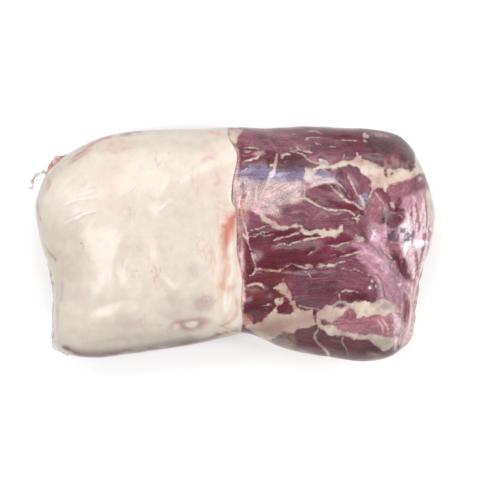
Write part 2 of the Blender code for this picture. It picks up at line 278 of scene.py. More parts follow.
# Outlines of the patches of fat on the lean side
LEAN_FAT_PATCHES = (
    ((-3, 114), (5, 115), (12.5, 114), (9.5, 107), (7.5, 100), (8.5, 92), (5, 96), (-1, 106)),
    (
        (88, 84.5), (93, 83.2), (96, 81), (100, 80), (104.6, 81.2), (111.5, 84.6), (113, 87),
        (114.5, 83.8), (120, 83.8), (124.6, 86.2), (127, 88.5), (131, 89.2), (132.3, 84.8), (138.5, 83),
        (144.6, 80), (149.2, 77), (153.8, 76.5), (157.7, 74.6), (159.2, 77), (161.5, 74.8), (167, 76),
        (171.5, 75.4), (176, 74.6), (180, 73.8), (183.5, 76), (184.6, 81.5), (185.4, 87.5), (188, 88),
        (190.5, 80), (193.5, 73.8), (188.5, 70), (183.8, 67), (177, 63.8), (167, 60.8), (159.2, 58.5),
        (155.8, 53), (153, 56.5), (149.6, 57), (145.4, 54.6), (142.7, 53), (140.4, 57), (139.6, 63.8),
        (135.4, 67.7), (130.8, 72.3), (129, 75.4), (121.5, 77), (119.5, 76.4), (107.7, 76.2), (100, 74.8),
        (90, 75.5),
    ),
    ((75, 75), (79, 74.5), (84, 73.5), (85.5, 70), (85, 64.5), (82, 61.5), (77, 62.5), (74, 67), (74, 71)),
    (
        (30, 31), (33, 29), (38, 26), (43, 23.5), (47, 20.5), (51, 17.8), (56, 17), (60.5, 17.8),
        (63.5, 18.5), (66, 20.8), (67.5, 18.8), (70.5, 19), (72, 21), (73, 17.5), (76, 14), (79.5, 13.3),
        (83, 14.8), (85.5, 15.2), (86.6, 17.2), (88, 14.6), (92, 13.4), (93.6, 15.6), (96, 13.5),
        (100, 14.4), (105, 14.4), (109, 14), (111.5, 19.5), (113, 18), (112.5, 12), (110.5, 9),
        (107.5, 7), (103, 6.2), (97, 6.2), (92, 6.4), (91, 8.5), (88, 10), (84, 9.6), (79, 8.8),
        (75, 9.4), (72, 11), (70, 13.5), (70.5, 16.6), (65, 16.2), (59, 14.8), (52, 14), (46, 14.8),
        (41, 18), (36, 21.8), (32, 26),
    ),
    (
        (85, -23), (86.5, -20.8), (90, -19.2), (93, -19), (96, -20.2), (100.5, -19.4), (104, -20.2),
        (108, -21.2), (106, -23), (112, -25.2), (105, -24.8), (98, -23.8), (91, -23.2),
    ),
    (
        (52.7, -33.3), (50.7, -39), (46, -42), (43.5, -44.2), (47, -46.5), (52, -49.5), (56, -53.8),
        (59.3, -56.8), (62, -57), (60.4, -50), (58, -43), (55, -37.5),
    ),
    ((45, -57), (46, -54.5), (48.5, -53), (52.5, -53.2), (54, -56.5), (51, -60), (47, -60)),
    (
        (31, -77), (34.2, -74), (39.6, -68.7), (42.5, -66.5), (47, -66), (49, -69.5), (54, -70),
        (60.5, -69.3), (62.5, -61.5), (59, -58.2), (64, -57), (67, -61), (72, -66), (81, -66.8),
        (82, -71), (84.4, -74.5), (84.8, -82), (74.2, -84), (67.3, -84.8), (64.2, -88.7), (58, -89.2),
        (51, -90.5), (43, -93.5), (36, -95), (28, -91.5), (20, -87.5), (15, -83.5), (19, -79.5),
        (25, -79.5),
    ),
    (
        (86.5, -68), (91, -64), (96.5, -60.6), (102.7, -61), (104.5, -64.8), (108, -67), (113.8, -68),
        (113.5, -71.4), (108, -74), (105.8, -76.4), (102.7, -78.7), (104.2, -82), (109.6, -84.8),
        (118, -87.5), (131, -91), (143.5, -91), (151, -91.8), (158.8, -93.3), (164, -95), (163, -102),
        (158, -106), (152, -107), (146, -102), (141, -97), (131, -95.8), (122, -95), (115, -93.5),
        (108, -92), (100.4, -92), (95, -88.3), (89.6, -86), (86.5, -81.8), (85.6, -75),
    ),
    (
        (104.5, -60), (109.6, -57.5), (115, -56.8), (121, -56.8), (128, -56.4), (135.8, -56.8),
        (140.4, -58), (147.3, -57.5), (151, -55.2), (154.6, -54), (158.8, -56), (162.7, -60.2),
        (168.8, -64.8), (174.6, -68.5), (173.8, -70.2), (168.8, -69.5), (162, -69.5), (155, -72.2),
        (145, -71), (135, -73), (127, -75), (126.3, -70), (124, -65.5), (120, -64), (116.5, -65),
        (114.5, -69), (109, -69.5), (104, -67.5),
    ),
)

# Spots of fat, and islands of lean in the patches: x, y, half length, half width, turn
FAT_SPOTS = (
    (128.8, 4.7, 4.9, 3.4, -10),
    (136.3, 108.5, 3.4, 2.4, -10),
    (37.3, -64.5, 2, 1.2, -20),
    (34, -61.5, 1.8, 1, 0),
    (36, -68, 1.6, 1, 30),
    (39, -60.5, 1.3, 0.8, 0),
)
LEAN_ISLANDS = (
    (94, -77.5, 4.2, 1.3, -12),
    (110.5, -61.5, 4, 1.6, 0),
    (49.6, -55.6, 0.9, 0.9, 0),
    (120, 77.5, 1.5, 1.5, 0),
    (132.6, 83.6, 1.2, 0.6, 0),
    (156, 71, 1.0, 2.2, 10),
    (161, 70, 1.4, 1.0, 40),
)

# Muscles: x, y, half length, half width, turn, direction of the fibres, and the tone of the meat
MUSCLES = (
    (38, 105, 28, 8, 0, 0, "dusky"),
    (76, 104, 22, 6, 0, 0, "dusky"),
    (98, 110, 40, 4, 0, 0, "plum"),
    (98, 93, 20, 9, 0, 0, "mauve"),
    (128, 97, 10, 7, -20, 10, "wine"),
    (132, 100, 3, 6, 0, 80, "wine"),
    (158, 93, 26, 16, -15, -30, "ashen"),
    (144.5, 93, 5, 4.5, 0, -40, "pit"),
    (17, 89, 8, 10, 0, 0, "wine"),
    (38, 87, 8, 4.5, -10, 10, "pit"),
    (62, 85, 8, 3.6, 0, 0, "pit"),
    (68, 79, 14, 3, 0, 0, "ashen"),
    # painted reflection: the bluish rows here are the blue band where the film mirrors the back light
    (26, 70, 12, 5, 0, 0, "bluish"),
    (26, 76.5, 10, 2, 0, 0, "slate"),
    (59, 66, 11, 4.4, 0, 0, "bluish"),
    (60, 75, 11, 3, 0, 0, "slate"),
    (96, 68, 7, 2.6, 0, 0, "bluish"),
    # painted reflection: the hazy rows here are the pale haze under that band, partly silverskin
    (22, 52, 10, 12, 0, 80, "misty_sheen"),
    (53, 52, 19, 10, 0, 30, "misty_sheen"),
    (92, 62, 12, 4, 0, 0, "misty_sheen"),
    (97, 55, 9, 5, 0, -10, "pit"),
    (92, 48, 20, 5, -12, -10, "dusky"),
    (100, 41, 22, 4, -10, -12, "deep"),
    (113, 62, 14, 6, -58, -58, "plum"),
    (123, 62, 14, 6, -58, -58, "mauve"),
    (133, 60, 7, 10, 0, -70, "mauve"),
    (135.5, 46, 4.5, 6, 0, 0, "bluish"),
    (146, 38, 9, 12, 0, 60, "rose"),
    (155.8, 45.5, 3.6, 11.5, 30, -60, "wine"),
    (178, 56, 20, 8, 20, 20, "rose"),
    (185, 57.5, 3.5, 6.5, 0, 60, "mauve"),
    (186, 44, 14, 10, 0, 60, "lilac"),
    # painted reflection of the back light in the film, partly silverskin
    (40, 34, 14, 5, -20, -10, "misty_sheen"),
    (80, 27, 36, 12, -5, 5, "dusky"),
    (104, 24, 20, 8, 0, 5, "plum"),
    (26, 22, 12, 8, -15, -15, "mauve"),
    (29, 35, 5.5, 5.5, 0, -15, "blossom"),
    (60, 5, 44, 7, 4, 8, "deep"),
    (100, 4, 26, 5, 3, 8, "crimson"),
    (60, -12, 40, 11, 0, 3, "deep"),
    (112, -8, 22, 5, 8, 12, "crimson"),
    (116, -20, 18, 6, -5, -12, "mauve"),
    (134, 14, 10, 12, 0, -50, "mauve"),
    (144, 10, 8, 16, 40, -50, "lilac"),
    (90, -42, 28, 17, 0, 4, "plum"),
    (120, -38, 16, 10, 0, -15, "mauve"),
    (123.5, -51.3, 12.5, 4.3, 0, 0, "pit"),
    (150, -24, 36, 9, -48, -52, "lilac"),
    (160, -46, 22, 11, -60, -62, "lilac"),
    (143.5, -51, 2.5, 5, 0, -60, "mauve"),
    (176, -66, 20, 7, -70, -70, "pinkish"),
    (140, -42, 9, 9, 0, -60, "mauve"),
    (30, -60, 16, 19, 0, 20, "brown"),
    (55, -64.7, 5.4, 4.8, 10, 10, "deep"),
    (40, -34, 14, 6, 0, 10, "brown"),
    (20, -26, 4, 3.5, 0, 0, "brown"),
    (12.3, -10.5, 2.7, 29, 0, 90, "umber"),
    (120, -70.2, 6.3, 6.2, 0, 90, "rose"),
    (136, -82, 26, 8, 0, 3, "pinkish"),
    (127.7, -97.8, 12.7, 2.2, 0, 0, "pit"),
    (128, -106, 18, 5, 0, 0, "liver"),
    (90, -100, 24, 14, 0, 0, "liver"),
    (55, -99, 11, 7, -14, -34, "tan"),
    (160, -107, 12, 4, 10, 0, "liver"),
    (176, -90, 6.5, 15, 0, 90, "blossom"),
    (163, 27, 8, 7.4, 0, 0, "plum"),
    (156, 16, 3, 5, 0, 0, "lilac"),
    (164, 8, 8, 5, 0, 0, "lilac"),
    (165, -6.5, 5, 6.5, 0, 0, "rose"),
    (176, -26, 4, 9, 24, -75, "pocket"),
    # painted sheen: the pale rows are pink meat under the film's pleats, lightened as their highlights
    (190, 6, 12, 24, 0, 88, "pale"),
    (175.5, 11, 5.5, 9, 0, 80, "pale"),
    (186, -28, 4, 18, 0, 88, "pale"),
)
LEAN_TONES = {
    "deep": (104, 38, 56),
    "crimson": (114, 46, 68),
    "wine": (116, 55, 74),
    "pit": (98, 44, 58),
    "mauve": (126, 76, 92),
    "plum": (114, 65, 81),
    "dusky": (134, 88, 100),
    "slate": (110, 88, 108),
    # the next two tones are painted reflections: a blue band where the film mirrors the back light, and a
    # pale haze under it, which is partly silverskin
    "bluish": (132, 118, 142),
    "misty_sheen": (188, 168, 169),
    "rose": (148, 97, 110),
    "pinkish": (163, 113, 122),
    "lilac": (176, 136, 150),
    "blossom": (192, 162, 170),
    # the next tone is pink meat under the film's pleats at the right end, lightened with a painted sheen of
    # the pleats
    "pale": (218, 194, 200),
    "brown": (104, 42, 54),
    "liver": (102, 58, 63),
    "umber": (140, 80, 85),
    "tan": (138, 114, 106),
    "ashen": (104, 70, 76),
    "pocket": (104, 24, 54),
}

# Washes of colour over the lean: colour, strength, softness, then a spot. Some are painted highlights and
# reflections of the film, as marked.
LEAN_WASHES = (
    ((134, 52, 48), 0.6, 4, (59, -35, 3.5, 11, 8)),
    ((124, 52, 54), 0.45, 6, (45, -33, 8, 6, 0)),
    ((132, 60, 52), 0.45, 6, (22, -44, 9, 6, 0)),
    ((124, 46, 52), 0.3, 6, (42, -16, 9, 8, 0)),
    ((100, 14, 44), 0.6, 4, (22, 2, 5, 3, 0)),
    ((84, 30, 44), 0.5, 5, (24, -66, 10, 8, 0)),
    ((196, 134, 130), 0.7, 1.6, (25.8, 89.5, 2.4, 1.6, 0)),
    ((196, 172, 168), 0.6, 2, (31, 91, 3, 2, 0)),
    ((112, 24, 44), 0.7, 1.2, (20, 95, 6, 0.7, 0)),
    # painted reflection of the back light in the film: a bluish white streak in the band, and the haze
    # under it
    ((190, 192, 216), 0.8, 2.5, (49.5, 69.5, 4.8, 1.6, 0)),
    ((206, 188, 186), 0.5, 6, (56, 56, 14, 6, 10)),
    ((150, 70, 92), 0.8, 2, (77.5, 60.5, 2.4, 1.8, 0)),
    ((128, 40, 60), 0.8, 1.4, (13.8, 48, 1.2, 6, 0)),
    # painted highlight: a white streak of light on the film over the narrow strip by the junction
    ((232, 218, 216), 0.7, 1.6, (12.4, -14, 1.5, 9, 0)),
    ((206, 150, 150), 0.5, 3, (15, 28, 4, 11, 0)),
    ((104, 20, 48), 0.8, 1.4, (114, 108, 4, 1.0, 0)),
    ((136, 62, 74), 0.25, 2.5, (131.8, 100, 2.8, 5.6, 0)),
    ((112, 66, 78), 0.5, 6, (80, 28, 10, 5, 0)),
    ((196, 160, 168), 0.6, 1.4, (150.5, 109, 7.5, 1.1, -4)),
    ((148, 76, 88), 0.5, 3, (161, 85, 6, 4, 0)),
    ((104, 12, 48), 0.8, 2, (168, 40.5, 4, 5.5, 0)),
    ((80, 8, 36), 0.9, 1.2, (132.7, 32, 2.4, 2.2, -40)),
    ((90, 5, 45), 0.95, 1.2, (154, 25.2, 2.0, 2.6, 0)),
    ((96, 14, 46), 0.9, 1.6, (167.4, 33.6, 5.2, 1.5, 0)),
    ((90, 8, 42), 0.9, 1.2, (168.7, 25.3, 1.4, 2.5, 0)),
    ((40, 30, 48), 0.5, 1.8, (158.7, 8, 1.9, 3.6, 15)),
    ((36, 26, 44), 0.6, 1.8, (168, 7.5, 1.8, 3.8, -20)),
    ((44, 34, 54), 0.6, 1.6, (175, 8, 1.3, 2.6, 10)),
    ((82, 76, 98), 0.85, 1.6, (183.4, 8.5, 2.4, 3.5, 0)),
    ((120, 12, 48), 0.9, 1.2, (164, 12.4, 3.1, 1.1, 0)),
    ((120, 5, 45), 0.9, 1.6, (158, -1, 2, 3.8, 0)),
    ((92, 52, 62), 0.8, 2, (166, -12, 5, 4, -45)),
    ((98, 4, 40), 1.0, 2.2, (173, -24, 16, 4.2, -60)),
    # painted highlights: glints of light on the film's pleats at the right end, and their sheen
    ((252, 250, 250), 1.0, 2, (175.8, -2.4, 2.4, 4.6, 0)),
    ((252, 250, 250), 0.9, 2, (179, 0.4, 2, 2.6, 0)),
    ((252, 250, 250), 1.0, 2, (187.6, -1, 2.4, 4.2, 0)),
    ((252, 250, 250), 0.9, 2, (191.4, 0.4, 2.6, 3, 0)),
    ((244, 228, 234), 0.7, 3, (175.5, 11, 5, 9, 0)),
    ((120, 30, 60), 0.9, 1.0, (181.8, 30.5, 0.9, 2.5, 0)),
    ((196, 70, 130), 0.7, 1.0, (196.9, 6.2, 1.1, 1.8, 0)),
    # painted highlight: a silvery glint of light on the film
    ((240, 232, 238), 0.9, 1.2, (143.4, 9.8, 1.2, 3.6, -20)),
    ((206, 184, 198), 0.7, 2, (147.2, 7.5, 3.6, 4.4, 20)),
    # painted highlights: glare dots, a light streak and a glint on the film
    ((240, 234, 240), 0.95, 0.8, (142, -37, 1.1, 1.1, 0)),
    ((240, 234, 240), 0.95, 0.8, (139.6, -43.3, 1.2, 1.0, 30)),
    ((238, 232, 238), 0.95, 0.8, (145.4, -42.5, 1.0, 1.3, 0)),
    ((208, 190, 202), 0.8, 1.4, (151.5, -44.8, 1.1, 4.6, 0)),
    ((236, 214, 222), 0.8, 1.4, (169.9, -40.2, 1.6, 1.8, 0)),
    ((214, 196, 204), 0.6, 1.2, (133, -18, 2, 0.8, 0)),
    ((214, 196, 204), 0.6, 1.2, (148.4, -18.7, 2, 0.8, 0)),
    # painted highlights: pinkish white streaks of light on the film's wrinkles at the lower right
    ((222, 206, 210), 0.8, 2, (167.2, -77, 3, 7.4, 18)),
    ((240, 228, 230), 0.8, 1.2, (164, -86, 1.2, 3.2, 0)),
    ((240, 228, 230), 0.8, 1.2, (165, -97.5, 1.4, 7.4, 0)),
    ((112, 20, 48), 0.9, 1.2, (84.2, -68.6, 2.2, 2.2, 0)),
    ((150, 30, 60), 0.8, 1.2, (166.8, -107.5, 2.8, 1.1, 0)),
    ((180, 160, 146), 0.6, 1.6, (143, -109.5, 5, 2, -10)),
    ((88, 72, 98), 0.8, 1.2, (151.5, -104.1, 2.7, 2.2, 0)),
    ((76, 34, 44), 0.7, 1.6, (92.3, -89, 2, 1.1, 0)),
    ((196, 90, 104), 0.6, 1.2, (183.2, -58.5, 1.0, 12, 0)),
    ((230, 206, 208), 0.8, 1.4, (190, 65.5, 1.5, 1.5, 0)),
    ((210, 180, 176), 0.6, 1.4, (13.4, -52, 1.4, 10, 0)),
    ((196, 150, 140), 0.7, 2, (17.5, -77, 4.4, 7, 30)),
)

# Washes along lines: colour, strength, softness, width, then the points
LEAN_LINES = (
    ((104, 14, 40), 0.9, 1.0, 1.8, (184, -4), (186, -12), (188, -24), (188.6, -40)),
    ((132, 22, 44), 0.5, 1.6, 1.8, (10.8, 104), (12.7, 97), (13, 85)),
    ((104, 16, 40), 0.9, 1.2, 1.6, (78, 110.5), (90, 109.5), (102, 109), (112, 107.5), (132, 106)),
    ((176, 120, 126), 0.6, 1.5, 1.6, (38.7, 111), (39, 104), (43, 98), (46.7, 95)),
    ((92, 30, 44), 0.7, 1.0, 1.2, (85.5, -72.5), (85.5, -83)),
    ((88, 10, 34), 0.7, 1.2, 1.4, (66, -60), (72, -63.5), (80, -66.5)),
    ((116, 14, 34), 0.8, 1.2, 1.6, (15, -65.6), (19.6, -74), (23.5, -78)),
    ((206, 176, 190), 0.7, 1.2, 3.0, (132, -2.5), (135.8, -7), (143, -12), (151, -17)),
    ((190, 146, 160), 0.5, 1.2, 1.0, (130, 2), (140, -10), (150, -24), (158, -40)),
    ((130, 62, 84), 0.5, 1.2, 1.2, (134, 8), (144, -2), (152, -14)),
    ((124, 60, 80), 0.6, 1.2, 1.2, (146, -30), (153, -40), (154, -52)),
    ((118, 66, 84), 0.4, 1.2, 1.0, (108, 22), (118, 18), (126, 12)),
    ((176, 148, 156), 0.5, 1.4, 2.0, (60, 30), (72, 33), (80, 28)),
    ((176, 148, 156), 0.5, 1.2, 1.6, (84, 24), (90, 30), (98, 28)),
    ((172, 144, 152), 0.4, 1.2, 1.4, (66, 22), (74, 26), (78, 22)),
    ((200, 130, 130), 0.7, 1.0, 1.2, (188.4, -10), (188.6, -28), (188.4, -45)),
    ((232, 206, 208), 0.7, 1.0, 1.4, (147, -76), (152, -82), (153, -89)),
    ((232, 206, 208), 0.7, 1.0, 1.4, (152, -75), (157, -82), (158, -90)),
    ((214, 186, 180), 0.35, 2.2, 2.4, (167, 75), (167.4, 84)),
    ((214, 186, 180), 0.35, 2.2, 2.4, (171.5, 75), (172.5, 82)),
    ((214, 186, 180), 0.35, 2.2, 2.4, (175.5, 74.5), (177, 81)),
    ((214, 186, 180), 0.35, 2.2, 2.4, (161.5, 74.6), (159.5, 80)),
    ((214, 186, 180), 0.35, 2.2, 2.2, (157, 75), (155.5, 84)),
    ((214, 186, 180), 0.35, 2.2, 2.0, (164, 76), (163, 88)),
    ((232, 210, 202), 0.8, 1.4, 2.6, (8.6, 62), (9.4, 46), (9.6, 36)),
    ((214, 150, 138), 0.7, 1.4, 1.6, (10.4, 48), (11.6, 36), (12, 26)),
    ((226, 198, 190), 0.7, 1.6, 2.2, (10.6, -30), (12.4, -48), (12, -66), (14, -80)),
    ((60, 26, 34), 0.6, 0.8, 1.2, (39, -90.5), (44, -97)),
    ((60, 26, 34), 0.6, 0.8, 1.2, (44, -91), (50, -98)),
    ((60, 26, 34), 0.6, 0.8, 1.2, (49, -91), (54, -98)),
)

# Stains on the fat of the lean side: colour, strength, softness, then a spot
FAT_STAINS = (
    ((206, 142, 112), 0.85, 3, (62.6, -61.8, 4.6, 4.4, -30)),
    ((218, 140, 100), 0.8, 4, (46, -26, 9, 2.5, 0)),
    ((204, 166, 156), 0.7, 3, (54, -45, 9, 12, 40)),
    ((220, 196, 184), 0.7, 1.6, (50, -44, 3.6, 2, 0)),
    ((172, 120, 114), 0.6, 1.4, (57.5, -47, 1.4, 5, -20)),
    ((150, 96, 98), 0.6, 1.2, (52.6, -37.5, 1, 3, 0)),
    ((184, 134, 124), 0.6, 1.2, (54.5, -52.5, 1.4, 1.2, 0)),
    ((196, 162, 154), 0.7, 6, (74, -76, 12, 8, -10)),
    ((172, 144, 132), 0.8, 8, (40, -83, 17, 9, 10)),
    ((206, 168, 158), 0.6, 8, (50, -82, 24, 9, 0)),
    ((206, 150, 152), 0.5, 5, (128, 84, 10, 5, -10)),
    ((214, 168, 164), 0.35, 6, (148, 64, 9, 6, 0)),
    ((226, 186, 176), 0.6, 3, (8, 107, 3, 6, 20)),
    ((200, 152, 152), 0.85, 2.4, (48, 87, 3, 9, -8)),
    ((234, 228, 236), 0.9, 3, (41, 66, 5, 10, -30)),
    ((226, 214, 216), 0.9, 4, (79, 68, 6, 7, 0)),
    ((176, 170, 172), 0.7, 2, (31, 91, 4, 2.6, 50)),
    ((186, 178, 186), 0.6, 2, (78, 86, 15, 3, -25)),
    ((206, 180, 172), 0.6, 6, (98, -72, 12, 10, 0)),
    ((196, 190, 172), 0.8, 3, (153, -98, 10, 6, 0)),
    ((186, 176, 190), 0.7, 2.5, (156, -62.5, 5, 3, 0)),
    ((164, 170, 176), 0.7, 1.8, (128.6, 5, 2.4, 1.8, 0)),
    ((170, 174, 178), 0.7, 1.6, (79, 14.2, 3, 1.3, 0)),
    ((178, 170, 178), 0.7, 1.8, (126.5, 73.4, 2.7, 2.6, 0)),
    ((150, 140, 150), 0.8, 2, (110, -61, 6, 3.4, 0)),
    ((172, 146, 134), 0.9, 3, (90, -98, 6, 14, 10)),
    ((172, 148, 136), 0.9, 3, (115, -103, 4, 11, 10)),
    ((200, 190, 182), 0.7, 3, (25, -39, 10, 3, 0)),
    ((220, 186, 182), 0.6, 3, (15, 34, 4, 8, 0)),
)
FAT_TONES = {
    "cream": (239, 231, 220),
    # pearl: a paler tone; its two big spots on the cap are painted light
    "pearl": (245, 238, 229),
    # shade: a greyer tone, laid at random, and in its spots on the cap as painted shade
    "shade": (228, 218, 206),
    "blush": (236, 214, 204),
    "salmon": (222, 150, 132),
    "rust": (190, 96, 78),
    "apricot": (218, 160, 134),
    "smoke": (196, 176, 172),
    "ring": (190, 146, 142),
    "lilac": (214, 196, 196),
    "wine": (136, 62, 66),
}

# Markings on the fat cap: tone, strength, softness, width, then the points of the line
FAT_CAP_LINES = (
    ("salmon", 1.0, 4.5, 11, (9, 36), (3, 27), (-0.5, 17), (-3, 9), (-6, 0)),
    ("apricot", 0.65, 3.5, 6, (-4, 4), (-3, -6), (-2.2, -18), (-4.4, -32), (-6, -43)),
    ("apricot", 0.5, 4, 6, (-11, -41), (-5, -46), (3, -43)),
    ("rust", 0.25, 2, 1.8, (5, 33), (1, 22), (-3, 12)),
    ("pearl", 0.35, 2.5, 7, (8, 22), (3, 4), (3, -10), (5, -24), (5, -38)),
    ("lilac", 0.4, 2, 1.8, (6, 14), (4, 2), (5, -10), (7, -22), (8, -34)),
    ("salmon", 0.35, 1.5, 1.2, (-17.6, -7), (-19.3, -20.2), (-14.3, -31.8), (-9.3, -43.4)),
    ("wine", 0.95, 1.6, 3.6, (-167, -103), (-153.6, -109.8), (-138.7, -111.4), (-117, -109.8),
     (-94, -106.5)),
    ("wine", 0.85, 1.4, 2.6, (-94, -106.5), (-69, -104.8), (-44, -99.8), (-11, -91.5), (9, -86.6)),
    ("wine", 0.7, 1.6, 3.4, (-119, 110), (-104, 111.5), (-89, 112.5)),
    ("rust", 0.5, 1.4, 1.4, (-153.6, 94.2), (-135.4, 104), (-117, 108.3)),
    ("salmon", 0.25, 2, 1.6, (-14, 42), (-4, 38), (6, 40)),
    ("salmon", 0.22, 2, 1.4, (-16, 36), (-6, 33), (2, 30)),
    ("salmon", 0.4, 1.5, 1.2, (-14, 30), (-12, 14), (-10, 0)),
    ("salmon", 0.35, 1.5, 1.4, (-20, -2), (-16, -14), (-13, -28), (-10, -40)),
    ("salmon", 0.45, 2, 3, (-20, 111), (-10, 110), (-4, 108)),
    ("blush", 0.8, 2.5, 2, (-26, 104), (-18, 96), (-14, 88)),
    ("salmon", 0.3, 2, 2, (-28, 80), (-22, 86), (-12, 84), (-6, 76)),
    ("salmon", 0.35, 2, 2, (-14, 72), (-10, 62), (-16, 58)),
    ("salmon", 0.25, 1.5, 1.5, (-37, 78), (-38, 66), (-36, 54)),
    ("salmon", 0.2, 1.5, 1.5, (-31, 76), (-32, 60), (-33, 44)),
    ("blush", 0.6, 3, 3, (-36, 64), (-22, 54), (-12, 50)),
    ("salmon", 0.35, 1.5, 1.5, (-124, 95), (-114, 93), (-106, 96), (-98, 96)),
    ("salmon", 0.4, 2, 3, (-120, 101), (-112, 103), (-104, 104)),
    ("rust", 0.7, 1.4, 1.6, (-160, 84), (-148, 94), (-134, 103), (-120, 108)),
    ("rust", 0.6, 1.2, 1.2, (-162, 78), (-150, 89), (-138, 97)),
    ("salmon", 0.5, 1.5, 2, (-182, 66), (-180, 58), (-182, 52)),
    ("rust", 0.5, 1.0, 1.2, (-183, 74), (-176, 80), (-166, 88)),
    ("wine", 0.45, 1.2, 1.6, (-193, 46), (-192, 32), (-189, 24)),
    ("wine", 0.5, 1.2, 1.4, (-186, 0), (-180, -10), (-174, -17)),
    ("wine", 0.4, 1.5, 1.2, (-168, -39), (-167, -48), (-168, -58)),
    ("salmon", 0.35, 1.5, 1.2, (-174, -50), (-173, -70), (-174, -90)),
    ("salmon", 0.6, 1.5, 1.8, (6, -54), (7, -66), (2, -76), (-8, -82)),
    ("salmon", 0.5, 1.5, 2, (-14, -80), (-4, -84), (8, -84)),
    ("pearl", 0.9, 2, 6, (0, -82), (6, -78), (10, -74)),
    ("smoke", 0.35, 1.5, 1.2, (-34, -62), (-30, -54), (-22, -52), (-18, -58), (-22, -66), (-30, -66),
     (-34, -60)),
    ("smoke", 0.35, 1.2, 1.0, (-29, -61), (-26, -57), (-22, -60), (-26, -63), (-29, -60)),
)

# Markings on the fat cap: tone, strength, softness, then a spot. Some are painted shade and painted light,
# as marked.
FAT_CAP_SPOTS = (
    # painted shade: the cap darker towards its lower edge, its middle and its left
    ("shade", 0.5, 30, (-100, -90, 90, 22, 5)),
    ("shade", 0.35, 24, (-66, -4, 44, 42, 0)),
    ("shade", 0.4, 20, (-150, -30, 24, 24, 0)),
    ("shade", 0.8, 16, (-162, 4, 20, 30, 0)),
    # painted light: the cap lighter at its top and upper left
    ("pearl", 0.6, 26, (-70, 84, 60, 18, 0)),
    ("pearl", 0.5, 20, (-160, 44, 26, 24, 0)),
    ("blush", 0.4, 12, (-16, 76, 14, 20, 0)),
    ("blush", 0.35, 14, (-118, 62, 16, 20, 0)),
    ("blush", 0.45, 6, (-114, 97, 12, 5, 5)),
    ("blush", 0.5, 8, (-8, 0, 6, 40, 0)),
    ("lilac", 0.5, 8, (-104, -79, 12, 5, 0)),
    ("lilac", 0.5, 6, (-60, -70, 8, 5, 0)),
    ("lilac", 0.5, 8, (-36, -28, 8, 6, 0)),
    ("smoke", 0.55, 7, (-27, -60, 10, 9, 0)),
    ("lilac", 0.4, 9, (-150, -52, 12, 8, 20)),
    ("ring", 0.75, 3, (-41, -81, 19, 6, 9)),
    ("pearl", 1.0, 1.6, (-39, -80, 6.5, 3, 8)),
    ("pearl", 0.9, 1.4, (-53, -84, 4, 2.2, 8)),
    ("blush", 0.6, 1.2, (-38, -80, 2.6, 1.0, 8)),
    ("wine", 0.9, 0.6, (-148, 1, 0.7, 0.7, 0)),
    ("wine", 0.8, 0.6, (-145.5, -1, 0.6, 0.6, 0)),
    ("wine", 0.5, 0.6, (-146, -4, 0.5, 0.5, 0)),
)

# The hollow ring on the cap and the raised eye in it, and the row of clots at the right end, as spots
RING_HOLLOW = (-41, -81, 22, 9, 9)
RING_EYE = (-40, -80, 9, 4, 9)
CLOTTED_ROW = (171, 8.5, 17, 7.5, 0)

# The film: ridges of it, seen from above: height, width, then the points
FILM_RIDGES = (
    (1.6, 5, (-166, 39.5), (-150, 45), (-133.7, 48.6)),
    (1.3, 4, (-158, 46), (-145, 52), (-132, 56)),
    (1.5, 4, (-166, 21.2), (-150, 28), (-133.7, 33.7)),
    (0.8, 5, (-112, 40), (-100, 49), (-88, 58)),
    (0.5, 4, (-92, 71), (-80, 74), (-68, 74)),
    (0.8, 4, (-190, 60), (-182, 76), (-170, 88)),
    (0.7, 3, (-186, 50), (-176, 66), (-166, 80)),
    (1.0, 3, (176, 40), (181, 8), (183, -30), (182, -80)),
    (1.0, 3, (184, 40), (189, 8), (188, -26), (184, -70)),
    (0.9, 3, (192, 38), (196, 10), (193, -14)),
    (0.8, 3, (168, 30), (172, -10), (177, -50), (180, -90)),
    (0.9, 4, (9, 30), (9.5, 0), (10, -24)),
    (0.8, 3, (130, -34), (140, -38), (143, -50)),
    (0.8, 3, (147, -36), (149, -46), (146, -54)),
    (0.8, 3, (160, -74), (170, -88), (176, -100)),
    (0.7, 3, (150, -90), (162, -100), (170, -106)),
)
PLEAT_LINE = ((190, 60), (192, 30), (191, 0), (186, -30), (182, -60), (180, -100))
PLEAT_PITCH = 2.6
GATHERED_CORNER = (172, -96, 22, 16, 20)
FILM_CLOUD = 0.04  # milkiness of the gathered film
MOST_REFLECTED = 0.9

# Loose film outside the meat, from the datum: inner edge, then outer edge; all in mm but the thickness
LEFT_SKIRT = (
    ((-178, -2), (-176, -30), (-173, -50), (-172, -75), (-170, -95), (-158, -104)),
    ((-190, -2), (-185.5, -30), (-182, -52), (-183, -84), (-182, -104), (-166, -113)),
)
CORNER_SKIRT = (
    ((-184, 60), (-176, 72), (-168, 80), (-158, 84)),
    ((-190, 64), (-186, 78), (-178.5, 88), (-170, 88), (-162.5, 92)),
)
RIGHT_SKIRT = (
    ((182, 0), (176, -30), (168, -66), (164, -90), (152, -102)),
    ((194, -4), (187, -34), (183, -62), (178.5, -94), (166, -108)),
)
SKIRT_LEVEL = 46
SKIRT_CELLS = (120, 14)
TAG_CELLS = (90, 8)
FILM_SHEET = 0.14 * MM
TAG_PATH = (
    (-182, 69, 50), (-189, 71, 50), (-196, 69.3, 49), (-201.5, 63, 47), (-201.5, 56.5, 45), (-206, 55, 42),
)
TAG_WIDTH = 3.8


def spline(before, here, after, beyond, per_span):
    """Catmull-Rom curve over the spans from here to after."""
    steps = np.arange(per_span)[None, :, None] / per_span
    a, b, c, d = (knots[:, None, :] for knots in (before, here, after, beyond))
    squared = (2 * a - 5 * b + 4 * c - d) * steps**2
    cubed = (3 * b - a - 3 * c + d) * steps**3
    return ((2 * b + (c - a) * steps + squared + cubed) / 2).reshape(-1, here.shape[1])


